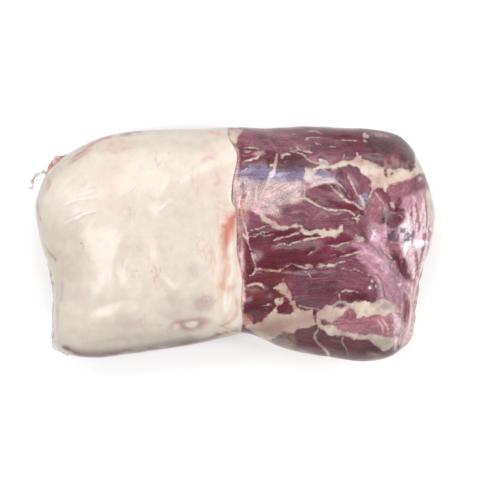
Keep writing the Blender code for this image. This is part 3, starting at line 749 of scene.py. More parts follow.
def ring(points, per_span=10):
    """Closed curve through points in mm, in metres."""
    knots = np.array(points, float) * MM
    return spline(np.roll(knots, 1, 0), knots, np.roll(knots, -1, 0), np.roll(knots, -2, 0), per_span)


def line_through(points, per_span=5):
    """Open curve through the points, in their own units."""
    knots = np.array(points, float)
    knots = np.vstack([2 * knots[0] - knots[1], knots, 2 * knots[-1] - knots[-2]])
    spans = len(knots) - 3
    return np.vstack([spline(*(knots[i : spans + i] for i in range(4)), per_span), knots[-2]])


def x_along(knots, seen):
    """Where a line that runs up the pack is, as x in mm at each place's y."""
    line = line_through(sorted(knots, key=lambda knot: knot[1]))
    return np.interp(seen[:, 1], line[:, 1], line[:, 0])


def turned(x, y, angle):
    """Offsets measured along and across a direction at this angle."""
    cos, sin = np.cos(angle), np.sin(angle)
    return x * cos + y * sin, y * cos - x * sin


def smooth_step(value, low, high):
    share = np.clip((value - low) / (high - low), 0, 1)
    return share * share * (3 - 2 * share)


def smooth_noise(places, size, seed):
    """Smooth unevenness from -1 to 1 with lumps of this size, in the units of the places."""
    table = np.random.default_rng(seed).uniform(-1, 1, LATTICE_SIZE)
    scaled = places / size
    cell = np.floor(scaled).astype(np.int64)
    share = scaled - cell
    share = share**3 * (share * (share * 6 - 15) + 10)
    total = np.zeros(len(places))
    for corner in range(8):
        step = np.array([corner & 1, corner >> 1 & 1, corner >> 2 & 1])
        mixed = (cell + step) * LATTICE_PRIMES
        index = (mixed[:, 0] ^ mixed[:, 1] ^ mixed[:, 2]) % LATTICE_SIZE
        total += table[index] * np.prod(np.where(step, share, 1 - share), axis=1)
    return total


def layered_noise(places, size, seed):
    """Smooth unevenness with two finer and fainter layers of lumps on top."""
    shares = (1, 0.5, 0.25)
    total = sum(share * smooth_noise(places, size * share, seed + i) for i, share in enumerate(shares))
    return total / sum(shares)


def sheet_of(places):
    """Plan places as points in space, for the noise."""
    return np.column_stack([places, np.zeros(len(places))])


def reach(rim, centre, angles):
    """Distance from the centre to the rim at each angle."""
    offsets = ring(rim) - np.array(centre) * MM
    around = np.arctan2(offsets[:, 1], offsets[:, 0])
    order = np.argsort(around)
    return np.interp(angles, around[order], np.hypot(*offsets[order].T), period=2 * math.pi)


def swell(x, y, rows):
    """Height added at x, y by rounded swells and hollows."""
    total = np.zeros_like(x)
    for centre_x, centre_y, half_length, half_width, turn, height in rows:
        along, across = turned(x - centre_x * MM, y - centre_y * MM, math.radians(turn))
        u, v = along / (half_length * MM), across / (half_width * MM)
        total += height * MM * np.clip(1 - u * u - v * v, 0, None) ** SWELL_POWER
    return total


def lumps(points, seed):
    """Slow unevenness of a soft side, as a share from -1 to 1, from a few crossed waves."""
    draw = np.random.default_rng(seed)
    total = np.zeros(len(points))
    for _ in range(6):
        direction = draw.normal(size=3)
        direction /= np.linalg.norm(direction)
        wavelength = draw.uniform(45, 95) * MM
        total += np.sin(points @ direction * (2 * math.pi / wavelength) + draw.uniform(0, 6.28))
    return total / 6


def loaf(cube, rim, centre, height, roundness):
    """A cube's points on a superellipse loaf with this rim: x, y, z and the share of the way up."""
    offsets = ring(rim) - np.array(centre) * MM
    half_x, half_y = np.ptp(offsets, axis=0) / 2
    angles = np.arctan2(cube[:, 1] * half_y, cube[:, 0] * half_x)
    square, upright = np.abs(cube[:, :2]).max(1), cube[:, 2]
    power = roundness(angles, upright)
    spread = (square**power + np.abs(upright) ** power) ** (1 / power)
    out, up = square / spread, upright / spread
    radius = out * reach(rim, centre, angles)
    x = centre[0] * MM + radius * np.cos(angles)
    y = centre[1] * MM + radius * np.sin(angles)
    middle = WIDEST_LEVEL * height
    z = middle + up * np.where(up > 0, height - middle, middle + SUNK)
    return x, y, z, up


def butt(cube, rim, centre, height, pressed_angle, swells, seed):
    """Points of one butt, with swells on top, uneven sides and a flat underside, and how far up each is."""

    def roundness(angles, upright):
        pressed = smooth_step(np.cos(angles - pressed_angle), 0.45, 0.8)
        top = TOP_ROUNDNESS + (PRESSED_ROUNDNESS - TOP_ROUNDNESS) * pressed
        return np.where(upright < 0, np.maximum(top, BASE_ROUNDNESS), top)

    x, y, z, up = loaf(cube, rim, centre, height, roundness)
    z = z + swell(x, y, swells) * smooth_step(up, 0.15, 0.75)
    sides = 1 - smooth_step(np.abs(up), 0.75, 0.97)
    uneven = UNEVENNESS * lumps(np.column_stack([x, y, z]), seed) * sides
    outward = np.arctan2(y - centre[1] * MM, x - centre[0] * MM)
    x = x + uneven * np.cos(outward)
    y = y + uneven * np.sin(outward)
    return np.column_stack([x, y, np.clip(z, FILM_CLEARANCE, None)]), up


def seen_from_above(points):
    """Where points of the pack appear, in mm at rim level, to the camera straight above."""
    spread = CAMERA_ABOVE_RIM / (CAMERA_ABOVE_RIM + RIM_LEVEL - points[:, 2])
    return (FRAME_CENTRE + (points[:, :2] - FRAME_CENTRE) * spread[:, None]) / MM


def line_distance(places, line):
    """Distance in mm from each place to a line, and the share of the line at the nearest point."""
    nearest = np.full(len(places), 1e3)
    share = np.zeros(len(places))
    steps = len(line) - 1
    for index in range(steps):
        start, span = line[index], line[index + 1] - line[index]
        along = np.clip((places - start) @ span / max(span @ span, 1e-9), 0, 1)
        away = np.hypot(*(places - start - along[:, None] * span).T)
        closer = away < nearest
        nearest[closer] = away[closer]
        share[closer] = ((index + along) / steps)[closer]
    return nearest, share


def near(places, points):
    """The places that lie close to the points' box."""
    return np.all((places > points.min(0) - NEARBY) & (places < points.max(0) + NEARBY), axis=1)


def stroke_depth(places, width, points):
    """Depth in mm inside a stroke, positive within it, thinning towards its two ends."""
    depth = np.full(len(places), FAR_OUTSIDE)
    line = line_through(points)
    close = near(places, line)
    distance, share = line_distance(places[close], line)
    ends = np.sqrt(np.clip(np.sin(math.pi * share), 0, 1))
    depth[close] = np.broadcast_to(width, len(places))[close] / 2 * (0.3 + 0.7 * ends) - distance
    return depth


def spot_depth(places, centre_x, centre_y, half_length, half_width, turn):
    """Depth in mm inside an oval, positive within it."""
    along, across = turned(places[:, 0] - centre_x, places[:, 1] - centre_y, math.radians(turn))
    return (1 - np.hypot(along / half_length, across / half_width)) * min(half_length, half_width)


def patch_depth(places, corners):
    """Depth in mm inside a closed outline, positive within it."""
    depth = np.full(len(places), FAR_OUTSIDE)
    outline = ring(corners, 4) / MM
    close = near(places, outline)
    inner = places[close]
    distance, _ = line_distance(inner, np.vstack([outline, outline[:1]]))
    inside = np.zeros(len(inner), bool)
    for (x1, y1), (x2, y2) in zip(outline, np.roll(outline, -1, 0)):
        if y1 == y2:
            continue
        crosses = (inner[:, 1] < y1) != (inner[:, 1] < y2)
        inside ^= crosses & (inner[:, 0] < (x2 - x1) * (inner[:, 1] - y1) / (y2 - y1) + x1)
    depth[close] = np.where(inside, distance, -distance)
    return depth


def wander(places, seed, amount=1.0):
    """Places pushed about a little, so that what is drawn on them has the uneven edges of grown tissue."""
    flat = sheet_of(places)
    push = []
    for axis in (0, 1):
        slow = 1.5 * smooth_noise(flat, 13, seed + axis)
        push.append(slow + 0.8 * smooth_noise(flat, 4.5, seed + 7 + axis))
    return places + amount * np.column_stack(push)


def linear(tone):
    """A colour given from 0 to 255 as the linear light that shaders take."""
    share = np.array(tone, float) / 255
    return np.where(share <= 0.04045, share / 12.92, ((share + 0.055) / 1.055) ** 2.4)


def wash(colours, tone, strength, depth, softness):
    """Colours with a tone laid over them where depth is positive, fading over the softness."""
    cover = strength * smooth_step(depth, -softness, softness)
    return colours + (linear(tone) - colours) * cover[:, None]


def gridded_cube(cells):
    """Bmesh cube from -1 to 1, cut into cells along each axis, and twice as finely on top."""
    bm = bmesh.new()
    bmesh.ops.create_cube(bm, size=2)
    for axis, count in enumerate(cells):
        along = [e for e in bm.edges if abs((e.verts[0].co - e.verts[1].co)[axis]) > 1.5]
        bmesh.ops.subdivide_edges(bm, edges=along, cuts=count - 1, use_grid_fill=True)
    on_top = [e for e in bm.edges if min(v.co.z for v in e.verts) > 0.999]
    bmesh.ops.subdivide_edges(bm, edges=on_top, cuts=1, use_grid_fill=True)
    return bm


def new_piece(name, bm):
    """A smooth object from a bmesh, in the scene."""
    mesh = bpy.data.meshes.new(name)
    bm.to_mesh(mesh)
    bm.free()
    mesh.shade_smooth()
    piece = bpy.data.objects.new(name, mesh)
    bpy.context.scene.collection.objects.link(piece)
    return piece


def vectors_of(items, key):
    """One vector for each item in a list of a mesh."""
    flat = np.empty(len(items) * 3)
    items.foreach_get(key, flat)
    return flat.reshape(-1, 3)


def places_of(mesh):
    return vectors_of(mesh.vertices, "co")


def place(mesh, points):
    mesh.vertices.foreach_set("co", np.ascontiguousarray(points, float).ravel())
    mesh.update()


def normals_of(mesh):
    return vectors_of(mesh.vertex_normals, "vector")


def record_values(mesh, name, values):
    """Keeps one number, vector or colour for each vertex, for a material to read."""
    width = 1 if values.ndim == 1 else values.shape[1]
    kind, key = {1: ("FLOAT", "value"), 3: ("FLOAT_VECTOR", "vector"), 4: ("FLOAT_COLOR", "color")}[width]
    kept = mesh.attributes.new(name, kind, "POINT").data
    kept.foreach_set(key, np.ascontiguousarray(values, np.float32).ravel())


def with_alpha(colours):
    return np.column_stack([np.clip(colours, 0, 1), np.ones(len(colours))])


def datum():
    """The tables' datum in the frame: the rim's furthest points touch the film of the solid."""
    furthest = ring(LEAN_SIDE_RIM).max(0) + FILM_CLEARANCE
    return np.array([bag_high.x - furthest[0], bag_high.y - furthest[1], 0.0])


def keep_to_side(points, side):
    """Flattens what reaches past the face between the butts; side is -1 left of it and 1 right of it."""
    seen = seen_from_above(points)
    ripple = CONTACT_RIPPLE * smooth_noise(points * (0, 1, 1) / MM, 22, 5)
    face = (x_along(JUNCTION, seen) + ripple) * MM + side * CONTACT_GAP / 2
    past = (points[:, 0] - face) * side < 0
    points[past, 0] = face[past]
    return points


def inside_box(points, margin=0.0):
    """Points kept within the box of the solid, less a margin."""
    low, high = (np.array(corner) for corner in cad_box)
    return np.clip(points, low + margin, high - margin)


def below_rim(points, up, rim, centre):
    """Distance in mm down the side and in under the base from the widest level; less than 0 above it."""
    offset = points[:, :2] - np.array(centre) * MM - DATUM[:2]
    angles = np.arctan2(offset[:, 1], offset[:, 0])
    inward = reach(rim, centre, angles) - np.hypot(*offset.T)
    drop = np.abs(points[:, 2] - RIM_LEVEL)
    return np.where(up < 0, 1, -1) * (drop + np.clip(inward, 0, None)) / MM, angles


def shaped_butt(name, rim, centre, height, pressed_angle, swells, seed, side):
    """The bare form of a butt, and for each of its vertices what the markings need."""
    piece = new_piece(name, gridded_cube(BUTT_CELLS))
    points, up = butt(places_of(piece.data), rim, centre, height, pressed_angle, swells, seed)
    points = keep_to_side(points + DATUM, side)
    place(piece.data, points)
    below, angles = below_rim(points, up, rim, centre)
    return piece, points, up, below, angles


def raised(piece, points, relief, side):
    """The butt's points moved out by a relief in mm, less near the table, and kept in their half."""
    amount = relief * smooth_step(points[:, 2], FILM_CLEARANCE, RELIEF_SETS_IN) * MM
    points = points + normals_of(piece.data) * amount[:, None]
    points[:, 2] = np.clip(points[:, 2], FILM_CLEARANCE, None)
    points = keep_to_side(points, side)
    place(piece.data, inside_box(points, FILM_CLEARANCE))
    return points


def muscle_sheets(points, below, seed):
    """Depth in mm inside thin curved sheets of fat in the meat, for the sides that are not seen."""
    at = points / MM
    at = at + 5 * np.column_stack([smooth_noise(at, 24, seed + 40 + axis) for axis in range(3)])
    stretched = at * np.array([0.7, 1.0, 1.5])
    first = 0.9 - 24 * np.abs(smooth_noise(stretched, 34, seed + 50))
    second = 0.6 - 22 * np.abs(smooth_noise(stretched, 27, seed + 51))
    third = 1.5 * smooth_noise(at, 19, seed + 52) + 4 * smooth_noise(at, 40, seed + 53) - 3.2
    sheets = np.maximum(np.maximum(first, second), third)
    return np.where(below > -4, sheets, FAR_OUTSIDE) - 6 * smooth_step(-below, -6, 4)


def side_tones(points, seed):
    """Lean colours for the sides that are not seen: muscles of differing darkness."""
    at = points / MM
    mix = smooth_step(smooth_noise(at, 36, seed), -0.35, 0.35)[:, None]
    second = smooth_step(smooth_noise(at, 26, seed + 1), -0.1, 0.5)[:, None]
    colours = linear(LEAN_TONES["plum"]) * (1 - mix) + linear(LEAN_TONES["dusky"]) * mix
    return colours * (1 - 0.7 * second) + linear(LEAN_TONES["deep"]) * 0.7 * second


def lean_tones(seen):
    """Colour of the meat and direction of its fibres where the lean side shows."""
    pushed = wander(seen, 61)
    weights = []
    for x, y, half_length, half_width, turn, _, _ in MUSCLES:
        reached = 1 - spot_depth(pushed, x, y, half_length, half_width, turn) / min(half_length, half_width)
        weights.append(np.exp(-7 * reached))
    weights = np.array(weights)
    palette = np.array([linear(LEAN_TONES[row[-1]]) for row in MUSCLES])
    colours = (weights.T @ palette) / weights.sum(0)[:, None]
    fibres = np.radians([row[5] for row in MUSCLES])[weights.argmax(0)]
    return colours, fibres


def fibre_places(points, fibres):
    """Places turned so that the first number runs along the fibres, in mm."""
    at = points / MM
    return np.column_stack([*turned(at[:, 0], at[:, 1], fibres), at[:, 2]])


def smeared(colours, seen):
    """Stripes pulled along the right end where the film gathers: pale ones that paint the highlights of the
    film's pleats, pink ones, and dark juice.
    """
    across = seen[:, 0] - x_along(PLEAT_LINE, seen)
    gathered = smooth_step(across, -13, -4) * smooth_step(-np.abs(seen[:, 1] + 20), -78, -52)
    stripes = layered_noise(sheet_of(np.column_stack([across, 0.08 * seen[:, 1]])), 2.6, 66)
    for tone, strength, bare in (((248, 238, 238), 0.8, 0.1), ((200, 148, 160), 0.4, 0.02)):
        colours = wash(colours, tone, strength * gathered, 9 * (stripes - bare), 0.8)
    return wash(colours, (128, 22, 54), 0.75 * gathered, 9 * (-0.22 - stripes), 0.8)


def mottled_row(colours, seen):
    """Dark clots and pale film between them, in a row across the right end."""
    row = smooth_step(spot_depth(seen, *CLOTTED_ROW), -2, 2)
    blots = layered_noise(sheet_of(seen), 4.2, 77)
    colours = wash(colours, (64, 48, 76), 0.75 * row, 7 * (blots - 0.1), 2.2)
    return wash(colours, (190, 170, 190), 0.5 * row, 7 * (-0.2 - blots), 2.2)


def lean_side_butt():
    """The butt that lies lean side up, its fat cap underneath."""
    piece, points, up, below, angles = shaped_butt(
        "lean_side_butt", LEAN_SIDE_RIM, LEAN_SIDE_CENTRE, LEAN_SIDE_HEIGHT, math.pi, MUSCLE_SWELLS, 8, 1
    )
    seen = seen_from_above(points)
    places = wander(seen, 11, 0.45)
    thickness = np.clip(1 + 0.6 * layered_noise(sheet_of(seen), 8, 23), 0.45, None)
    seams = np.full(len(points), FAR_OUTSIDE)
    for width, *line in LEAN_SEAMS:
        seams = np.maximum(seams, stroke_depth(places, width * thickness, line))
    patches = np.full(len(points), FAR_OUTSIDE)
    for corners in LEAN_FAT_PATCHES:
        patches = np.maximum(patches, patch_depth(places, corners))
    for spot in FAT_SPOTS:
        patches = np.maximum(patches, spot_depth(places, *spot))
    for island in LEAN_ISLANDS:
        patches = np.minimum(patches, -spot_depth(places, *island))
    patches = 0.75 * patches + 1.5 * layered_noise(sheet_of(seen), 5.5, 31) - 0.1
    above = smooth_step(up, -0.06, 0.1)
    fat = np.maximum(seams, patches) * above - 12 * (1 - above)
    cap = below - 30 - 9 * np.sin(angles * 2 + 0.6) - 6 * smooth_noise(points / MM, 30, 71)
    cap = cap - 2.5 * smooth_noise(points / MM, 9, 72)
    fat = np.maximum(fat, muscle_sheets(points, below, 90) * (1 - above) - 12 * above)
    fat = np.maximum(fat, cap)

    colours, fibres = lean_tones(seen)
    colours = smeared(colours, seen)
    frayed = layered_noise(sheet_of(seen), 3.4, 29)
    for tone, strength, softness, spot in LEAN_WASHES:
        colours = wash(colours, tone, strength, spot_depth(places, *spot) + 1.5 * frayed, softness)
    for tone, strength, softness, width, *line in LEAN_LINES:
        colours = wash(colours, tone, strength, stroke_depth(places, width, line) + 0.7 * frayed, softness)
    # the lean's pinkish edge along the junction, made paler as painted light too, which lifts the shade of
    # the crevice between the butts
    beside = seen[:, 0] - x_along(JUNCTION, seen)
    colours = wash(colours, (214, 176, 168), 0.75, 1.5 - beside + 2 * frayed, 1.4)
    colours = mottled_row(colours, seen)
    marked = smooth_step(up, -0.45, 0.1)[:, None]
    colours = colours * marked + side_tones(points, 80) * (1 - marked)
    fat_colours = np.tile(linear((234, 222, 208)), (len(points), 1))
    fat_colours = wash(fat_colours, (206, 166, 162), 0.5, 6 * layered_noise(points / MM, 16, 33) - 1, 3)
    fat_colours = wash(fat_colours, (184, 156, 146), 0.5, 5 * layered_noise(points / MM, 6, 37) - 1, 1.4)
    fat_colours = wash(fat_colours, (246, 238, 228), 0.6, 5 * layered_noise(points / MM, 7, 38) - 1, 1.6)
    for tone, strength, softness, spot in FAT_STAINS:
        fat_colours = wash(fat_colours, tone, strength, spot_depth(places, *spot) + 2 * frayed, softness)
    fat_colours = wash(fat_colours, FAT_TONES["cream"], 0.8, cap - 4, 4)

    groove = np.exp(-((np.clip(0.5 - seams, 0, None) / GROOVE_WIDTH) ** 2))
    relief = (RAISED_FAT * smooth_step(patches, -1, 4) - GROOVE_DEPTH * groove) * above
    relief = relief + 0.5 * smooth_noise(points / MM, 12, 44) * smooth_step(points[:, 2], 1 * MM, 4 * MM)
    points = raised(piece, points, relief, 1)
    finish_butt(piece, fat, colours, fat_colours, fibre_places(points, fibres))
    return piece


def fat_side_butt():
    """The butt that lies fat side up: its cap wraps over the edge, with lean meat below."""
    piece, points, up, below, angles = shaped_butt(
        "fat_side_butt", FAT_SIDE_RIM, FAT_SIDE_CENTRE, FAT_SIDE_HEIGHT, 0, FAT_CAP_SWELLS, 3, -1
    )
    seen = seen_from_above(points)
    places = wander(seen, 12, 0.8)
    edge = 11 + 7 * np.sin(angles * 3 + 1.1) + 6 * smooth_noise(points / MM, 34, 73)
    front = smooth_step(np.cos(angles + 1.9), 0.55, 0.9)
    back = smooth_step(np.cos(angles - 2.0), 0.86, 0.97)
    edge = edge * (1 - front) * (1 - back) - 3.5 * front - 5 * back
    fat = edge - below + 1.5 * smooth_noise(points / MM, 7, 74)
    fat = np.maximum(fat, muscle_sheets(points, below, 190))

    colours = side_tones(points, 180)
    fat_colours = np.tile(linear(FAT_TONES["cream"]), (len(points), 1))
    fat_colours = wash(fat_colours, FAT_TONES["shade"], 0.35, 8 * layered_noise(points / MM, 38, 34), 8)
    fat_colours = wash(fat_colours, FAT_TONES["blush"], 0.25, 8 * layered_noise(points / MM, 24, 36) - 2, 5)
    # painted shade: the cap's lower side darker, most at the front, where less light reaches it
    front_rim_shade = 0.9 * smooth_step(np.cos(angles + 1.35), 0.5, 0.9)
    fat_colours = wash(fat_colours, (104, 86, 60), front_rim_shade, below + 40, 10)
    fat_colours = wash(fat_colours, (206, 184, 170), 0.5 * (1 - front_rim_shade), below + 10, 12)
    frayed = layered_noise(sheet_of(seen), 6, 57)
    for tone, strength, softness, spot in FAT_CAP_SPOTS:
        fat_colours = wash(fat_colours, FAT_TONES[tone], strength, spot_depth(places, *spot), softness)
    for tone, strength, softness, width, *line in FAT_CAP_LINES:
        depth = stroke_depth(places, width, line) + 0.45 * width * frayed
        fat_colours = wash(fat_colours, FAT_TONES[tone], strength, depth, softness)

    upper = smooth_step(up, -0.1, 0.2)
    relief = 0.55 * layered_noise(points / MM, 26, 46) + 0.08 * smooth_noise(points / MM, 7, 47) * upper
    hollow = smooth_step(spot_depth(places, *RING_HOLLOW), 0, 4)
    eye = smooth_step(spot_depth(places, *RING_EYE), -1, 3)
    points = raised(piece, points, relief - 0.8 * hollow + 0.7 * eye, -1)
    fibres = 0.4 * np.sin(points[:, 0] / (40 * MM))
    finish_butt(piece, fat, colours, fat_colours, fibre_places(points, fibres))
    return piece


def finish_butt(piece, fat, colours, fat_colours, grain):
    mesh = piece.data
    record_values(mesh, "fat_depth", np.clip(fat, -6, 6))
    record_values(mesh, "lean_tone", with_alpha(colours))
    record_values(mesh, "fat_tone", with_alpha(fat_colours))
    record_values(mesh, "grain", grain)
    mesh.materials.append(meat_material(piece.name + "_meat"))
    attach(piece, "root")


class Shade:
    """A socket in a material's node tree. Python's operators on it add Math nodes."""

    def __init__(self, tree, socket=None):
        self.tree = tree
        self.socket = socket

    def node(self, kind, settings=None, inputs=None, output=0):
        """Any other node: its settings are set first, then the values or links of its sockets."""
        node = self.tree.nodes.new(kind)
        for name, value in (settings or {}).items():
            setattr(node, name, value)
        for name, value in (inputs or {}).items():
            if isinstance(value, Shade):
                self.tree.links.new(value.socket, node.inputs[name])
            else:
                node.inputs[name].default_value = value
        return Shade(self.tree, node.outputs[output] if len(node.outputs) else None)

    def maths(self, operation, *values):
        return self.node("ShaderNodeMath", {"operation": operation}, dict(enumerate(values)))

    def __add__(self, other):
        return self.maths("ADD", self, other)

    __radd__ = __add__

    def __sub__(self, other):
        return self.maths("SUBTRACT", self, other)

    def __rsub__(self, other):
        return self.maths("SUBTRACT", other, self)

    def __mul__(self, other):
        return self.maths("MULTIPLY", self, other)

    __rmul__ = __mul__

    def __abs__(self):
        return self.maths("ABSOLUTE", self)

    def ramp(self, low, high):
        """0 below low, 1 above high, and smooth between."""
        settings = {"interpolation_type": "SMOOTHSTEP"}
        return self.node("ShaderNodeMapRange", settings, {"Value": self, "From Min": low, "From Max": high})

    def noise(self, places, scale, detail, roughness):
        inputs = {"Vector": places, "Scale": scale, "Detail": detail, "Roughness": roughness}
        return self.node("ShaderNodeTexNoise", None, inputs)

    def threads(self, width):
        """1 along the thin lines where this noise crosses its middle, and 0 past the width."""
        return 1 - abs(self - 0.5).ramp(0.0, width)

    def stretch(self, places, factors):
        return self.node("ShaderNodeVectorMath", {"operation": "MULTIPLY"}, {0: places, 1: factors})

    def attribute(self, name, output):
        return self.node("ShaderNodeAttribute", {"attribute_name": name}, None, output)

    def mix(self, first, second, factor, blend="MIX"):
        """Two colours mixed; the colour sockets of the Mix node are its sixth and seventh."""
        settings = {"data_type": "RGBA", "blend_type": blend}
        return self.node("ShaderNodeMix", settings, {0: factor, 6: first, 7: second}, 2)

    def brighten(self, colour, amount):
        """A colour times a number that varies over the surface."""
        grey = self.node("ShaderNodeCombineColor", None, {0: amount, 1: amount, 2: amount})
        return self.mix(colour, grey, 1.0, "MULTIPLY")

    def bump(self, height, distance, strength):
        inputs = {"Height": height, "Distance": distance, "Strength": strength}
        return self.node("ShaderNodeBump", None, inputs)


def new_material(name):
    """An empty material: its node tree as a Shade, and a function that ends it with a shader."""
    material = bpy.data.materials.new(name)
    material.use_nodes = True
    material.node_tree.nodes.clear()
    shade = Shade(material.node_tree)

    def end(shader):
        shade.node("ShaderNodeOutputMaterial", None, {"Surface": shader})
        return material

    return shade, end


def colour(tone):
    return (*linear(tone), 1.0)


def meat_material(name):
    """Raw pork: lean with fibres and marbling, and soft fat where the fat depth is above 0."""
    shade, end = new_material(name)
    place_at = shade.node("ShaderNodeTexCoord", None, None, "Object")
    grain = shade.attribute("grain", "Vector")
    fibre_space = shade.stretch(grain, (0.12, 1.0, 1.0))

    ragged = shade.noise(place_at, 420, 3, 0.6) - 0.5
    teeth = shade.noise(shade.stretch(grain, (0.25, 1.0, 1.0)), 0.5, 2, 0.6) - 0.5
    depth = shade.attribute("fat_depth", "Fac") + 3.0 * ragged + 2.5 * teeth
    fat = depth.ramp(-0.6, 0.8)

    fibres = shade.noise(fibre_space, 0.9, 3, 0.65)
    bundles = shade.noise(fibre_space, 0.28, 2, 0.5)
    blotches = shade.noise(place_at, 60, 3, 0.55)
    grit = shade.noise(place_at, 620, 2, 0.6)
    lean_light = 1 + 1.4 * (fibres - 0.5) + 0.9 * (bundles - 0.5)
    lean_light = lean_light + 1.1 * (blotches - 0.5) + 1.3 * (grit - 0.5)
    lean = shade.brighten(shade.attribute("lean_tone", "Color"), LEAN_BRIGHTNESS * lean_light)
    streaks = shade.noise(shade.stretch(grain, (0.1, 1.0, 1.0)), 0.16, 3, 0.55).threads(0.02)
    fat_country = shade.noise(place_at, 34, 1, 0.5).ramp(0.5, 0.66)
    flecks = shade.noise(fibre_space, 0.55, 3, 0.7).ramp(0.66, 0.74)
    lean = shade.mix(lean, colour((206, 168, 170)), 0.42 * streaks * fat_country + 0.24 * flecks)

    mottle = shade.noise(place_at, 120, 4, 0.6)
    grains = shade.noise(place_at, 900, 2, 0.6)
    cap = shade.brighten(shade.attribute("fat_tone", "Color"), 0.82 + 0.26 * mottle + 0.1 * grains)
    thread_space = shade.stretch(place_at, (1.0, 0.45, 1.0))
    threads = shade.noise(thread_space, 70, 4, 0.6).threads(0.02)
    thread_country = shade.noise(place_at, 22, 1, 0.5).ramp(0.5, 0.7)
    cap = shade.mix(cap, colour((214, 160, 150)), 0.5 * threads * thread_country)

    thin = 1 - depth.ramp(0.2, 2.2)
    cap = shade.mix(cap, colour((208, 168, 162)), thin * (0.05 + 0.3 * mottle))

    base = shade.mix(lean, cap, fat)
    roughness = 0.5 - 0.1 * fat + 0.1 * blotches
    relief = (0.5 * fibres + 0.3 * bundles) * (1 - fat) + 0.5 * fat + 0.25 * mottle
    inputs = {
        "Base Color": base,
        "Roughness": roughness,
        "Normal": shade.bump(relief, 0.5 * MM, 0.5),
        "Specular IOR Level": 0.08,
        "Subsurface Weight": 0.12,
        "Subsurface Radius": (1.0, 0.45, 0.35),
        "Subsurface Scale": 3 * MM,
    }
    return end(shade.node("ShaderNodeBsdfPrincipled", None, inputs))


def film_material():
    """Clear film: it reflects by its angle, and is a little milky where it is loose and crinkled."""
    shade, end = new_material("clear_film")
    place_at = shade.node("ShaderNodeTexCoord", None, None, "Object")
    pleat = shade.attribute("pleat", "Fac")
    loose = shade.attribute("loose", "Fac")
    pull = shade.noise(shade.stretch(place_at, (1.0, 0.5, 1.0)), 120, 2, 0.5)
    crinkle = shade.noise(place_at, 380, 3, 0.6)
    ridges = shade.maths("SINE", pleat * (2 * math.pi / PLEAT_PITCH) + 5 * pull)
    relief = loose * (0.35 * ridges + 0.4 * crinkle) + 0.12 * pull
    normal = shade.bump(relief, 0.9 * MM, 0.8)
    gloss_inputs = {
        "Base Color": (1, 1, 1, 1),
        "Metallic": 1.0,
        "Roughness": 0.22 - 0.12 * loose,
        "Normal": normal,
    }
    gloss = shade.node("ShaderNodeBsdfPrincipled", None, gloss_inputs)
    clear = shade.node("ShaderNodeBsdfTransparent", None, {"Color": (1, 1, 1, 1)})
    edge = shade.node("ShaderNodeFresnel", None, {"IOR": 1.45, "Normal": normal})
    cloud = FILM_CLOUD * loose * crinkle.ramp(0.45, 0.7)
    share = shade.maths("MINIMUM", 0.9 * edge + cloud, MOST_REFLECTED)
    return end(shade.node("ShaderNodeMixShader", None, {0: share, 1: clear, 2: gloss}))


def skirt_material(name, film_tone, crease_highlight, cover):
    """Loose creased film outside the meat, stained where juice has dried; its creases are paler, a painted
    highlight of the folds.
    """
    shade, end = new_material(name)
    place_at = shade.node("ShaderNodeTexCoord", None, None, "Object")
    creases = shade.noise(place_at, 260, 4, 0.65)
    sharp = creases.threads(0.05)
    base = shade.mix(colour(film_tone), colour(crease_highlight), sharp)
    juice = shade.attribute("juice", "Fac")
    base = shade.mix(base, colour((196, 104, 84)), juice * creases.ramp(0.3, 0.6))
    inputs = {
        "Base Color": base,
        "Roughness": 0.22,
        "Alpha": cover + 0.3 * sharp + 0.3 * juice,
        "Normal": shade.bump(creases, 1.2 * MM, 0.9),
    }
    return end(shade.node("ShaderNodeBsdfPrincipled", None, inputs))


def add_wrap(obj, guide, method, mode):
    wrap = obj.modifiers.new("shrink", "SHRINKWRAP")
    wrap.target = guide
    wrap.wrap_method = method
    wrap.wrap_mode = mode
    wrap.offset = FILM_OFFSET
    if method == "PROJECT":
        wrap.use_negative_direction = True
        wrap.use_positive_direction = False


def blank_points(cube):
    """The bag before it shrinks: a loaf round both butts."""
    outer = [p for p in FAT_SIDE_RIM if p[0] < -20]
    outer += [p for p in LEAN_SIDE_RIM if p[0] > 30]
    x, y, z, _ = loaf(cube, outer, (0, 0), FAT_SIDE_HEIGHT, lambda angles, upright: BLANK_ROUNDNESS)
    grown = 1 + BLANK_MARGIN / np.hypot(x, y).clip(BLANK_MARGIN)
    z = (z - BLANK_MIDDLE) * BLANK_STRETCH + BLANK_MIDDLE
    return np.column_stack([x * grown, y * grown, z]) + DATUM


def merged_guide(parts):
    """One target for the film, from the meshes of both butts."""
    bm = bmesh.new()
    for part in parts:
        bm.from_mesh(part.data)
    return new_piece("meat_guide", bm)


def applied(piece):
    """Gives the piece the mesh that its modifiers make."""
    bpy.context.view_layer.update()
    graph = bpy.context.evaluated_depsgraph_get()
    mesh = bpy.data.meshes.new_from_object(piece.evaluated_get(graph))
    piece.modifiers.clear()
    piece.data = mesh


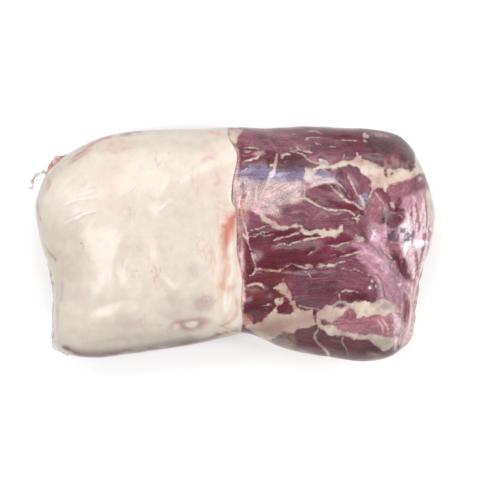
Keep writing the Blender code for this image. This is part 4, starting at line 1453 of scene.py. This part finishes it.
def bag_film(butts):
    """The film drawn tight over both butts, spanning the grooves, with ridges where it gathers."""
    film = new_piece("bag_film", gridded_cube(FILM_CELLS))
    place(film.data, blank_points(places_of(film.data)))
    guide = merged_guide(butts)
    add_wrap(film, guide, "PROJECT", "ON_SURFACE")
    for _ in range(TENSION_STEPS):
        tension = film.modifiers.new("tension", "SMOOTH")
        tension.factor = 0.5
        tension.iterations = TENSION_PASSES
        add_wrap(film, guide, "NEAREST_SURFACEPOINT", "OUTSIDE")
    applied(film)
    bpy.data.objects.remove(guide)
    points = places_of(film.data)
    normals = normals_of(film.data)
    seen = seen_from_above(points)
    above = smooth_step(normals[:, 2], 0.0, 0.3)
    places = wander(seen, 13, 0.6)
    height = np.zeros(len(points))
    for ridge, width, *line in FILM_RIDGES:
        depth = stroke_depth(places, width, line)
        height = np.maximum(height, ridge * smooth_step(depth, -width / 3, width / 2))
    height = height + 0.12 * np.clip(layered_noise(points / MM, 18, 55), 0, None)
    points = points + normals * (height * above * MM)[:, None]
    place(film.data, inside_box(points))

    across = seen[:, 0] - x_along(PLEAT_LINE, seen)
    right = smooth_step(across, -24, -6) * smooth_step(-np.abs(seen[:, 1] + 22), -92, -60)
    corner = smooth_step(spot_depth(seen, *GATHERED_CORNER), -4, 6)
    left = 0.6 * smooth_step(-seen[:, 0] - 176, -4, 12) * smooth_step(-seen[:, 1], -8, 6)
    record_values(film.data, "pleat", across)
    record_values(film.data, "loose", np.maximum.reduce([right, corner, left]) * above)
    film.data.materials.append(film_material())
    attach(film, "root")
    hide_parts("sealed_bag")


def film_grid(name, cells):
    """A flat sheet, and how far along it and out across it each vertex is, as shares from 0 to 1."""
    bm = bmesh.new()
    bmesh.ops.create_grid(bm, x_segments=cells[0], y_segments=cells[1], size=1)
    sheet = new_piece(name, bm)
    along, out, _ = (places_of(sheet.data).T + 1) / 2
    return sheet, along, out


def on_path(path, share):
    """Values of a path at these shares of the way along it."""
    stations = np.linspace(0, 1, len(path))
    return np.column_stack([np.interp(share, stations, values) for values in path.T])


def finish_sheet(sheet, points, juice, material):
    """Lays a sheet out at points in mm from the datum, and gives it its thickness and looks."""
    place(sheet.data, points * MM + DATUM)
    record_values(sheet.data, "juice", juice)
    wall = sheet.modifiers.new("thickness", "SOLIDIFY")
    wall.thickness = FILM_SHEET
    wall.offset = 0
    sheet.data.materials.append(material)
    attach(sheet, "root")


def seal_skirt(name, edges, seed, juice, material):
    """A creased sheet of film between an inner and an outer edge, standing out at rim level."""
    sheet, along, out = film_grid(name, SKIRT_CELLS)
    start, end = (on_path(line_through(edge, 8), along) for edge in edges)
    folds = sheet_of(np.column_stack([along * 150, out * 12]))
    ragged = 0.05 * smooth_noise(folds, 9, seed + 5) * out
    plan = start + (end - start) * (out - ragged - 0.04)[:, None]
    wave = 2.4 * smooth_noise(folds, 11, seed) + 1.3 * smooth_noise(folds, 4, seed + 1)
    stains = juice * smooth_step(smooth_noise(folds, 14, seed + 3), -0.2, 0.4)
    finish_sheet(sheet, np.column_stack([plan, SKIRT_LEVEL + wave * out]), stains, material)


def film_tag():
    """The curled tag of twisted film at the upper left corner."""
    tag, along, out = film_grid("film_tag", TAG_CELLS)
    across = 2 * out - 1
    path = line_through(TAG_PATH, 12)
    ahead = on_path(np.gradient(path, axis=0), along)
    ahead /= np.linalg.norm(ahead, axis=1)[:, None]
    side = np.cross(ahead, (0, 0, 1.0))
    side /= np.linalg.norm(side, axis=1)[:, None]
    rise = np.cross(side, ahead)
    twist = 0.7 * np.sin(along * 14)[:, None]
    half_width = TAG_WIDTH / 2 * (0.75 + 0.3 * np.sin(along * 31 + 1))
    bend = 0.5 * np.sin(across * 3 + along * 22)
    offset = (side * np.cos(twist) + rise * np.sin(twist)) * (across * half_width)[:, None]
    offset += (rise * np.cos(twist) - side * np.sin(twist)) * bend[:, None]
    finish_sheet(tag, on_path(path, along) + offset, np.full(len(along), 0.08), TWISTED_FILM)


def pale_floor():
    bm = bmesh.new()
    bmesh.ops.create_grid(bm, x_segments=1, y_segments=1, size=4)
    floor = new_piece("floor", bm)
    shade, end = new_material("pale_floor")
    inputs = {
        "Base Color": (0.9, 0.9, 0.9, 1),
        "Roughness": 0.9,
        "Emission Color": (1, 1, 1, 1),
        "Emission Strength": FLOOR_GLOW,
    }
    floor.data.materials.append(end(shade.node("ShaderNodeBsdfPrincipled", None, inputs)))
    floor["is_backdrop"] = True


def area_light(name, place_at, size, power):
    data = bpy.data.lights.new(name, "AREA")
    data.shape = "RECTANGLE"
    data.size, data.size_y = size
    data.energy = power
    light = bpy.data.objects.new(name, data)
    bpy.context.scene.collection.objects.link(light)
    light.location = place_at
    towards = Vector(LIGHT_AIM) - Vector(place_at)
    light.rotation_euler = towards.to_track_quat("-Z", "Y").to_euler()


def studio():
    """Soft light from all round, with boxes for the film's highlights."""
    world = bpy.data.worlds.new("studio")
    bpy.context.scene.world = world
    world.use_nodes = True
    sky = Shade(world.node_tree)
    direction = sky.node("ShaderNodeTexCoord", None, None, "Generated")
    height = sky.node("ShaderNodeSeparateXYZ", None, {"Vector": direction}, "Z")
    back = sky.node("ShaderNodeSeparateXYZ", None, {"Vector": direction}, "Y")
    around = HIGH_LIGHT + FRONT_LIGHT * (0 - back).ramp(0.1, 0.6)
    around = SIDE_LIGHT + (around - SIDE_LIGHT) * height.ramp(0.2, 0.6)
    grey = ZENITH_LIGHT + (around - ZENITH_LIGHT) * (1 - height.ramp(*DIM_OVERHEAD))
    background = world.node_tree.nodes["Background"]
    background.inputs["Color"].default_value = (1, 1, 1, 1)
    world.node_tree.links.new(grey.socket, background.inputs["Strength"])
    for box in LIGHT_BOXES:
        area_light(*box)
    bpy.context.scene.view_settings.view_transform = "Standard"


def overhead_camera():
    data = bpy.data.cameras.new("overhead")
    data.sensor_width = SENSOR_WIDTH
    data.lens = SENSOR_WIDTH * CAMERA_ABOVE_RIM / FRAME_WIDTH
    camera = bpy.data.objects.new("overhead", data)
    bpy.context.scene.collection.objects.link(camera)
    camera.location = (*FRAME_CENTRE, RIM_LEVEL + CAMERA_ABOVE_RIM)
    bpy.context.scene.camera = camera


DATUM = datum()
# the second colour of each is the painted highlight along the creases
CREASED_FILM = skirt_material("creased_film", (214, 212, 205), (248, 247, 244), 0.5)
JUICY_FILM = skirt_material("juicy_film", (226, 190, 186), (246, 232, 226), 0.6)
TWISTED_FILM = skirt_material("twisted_film", (208, 202, 192), (240, 237, 230), 0.85)

overhead_camera()
studio()
pale_floor()
butts = [fat_side_butt(), lean_side_butt()]
bag_film(butts)
seal_skirt("left_skirt", LEFT_SKIRT, 3, 0.12, CREASED_FILM)
seal_skirt("corner_skirt", CORNER_SKIRT, 4, 0.9, JUICY_FILM)
seal_skirt("right_skirt", RIGHT_SKIRT, 5, 0.3, JUICY_FILM)
film_tag()

[[list(corner) for corner in corners] for corners in (cad_box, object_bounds())]
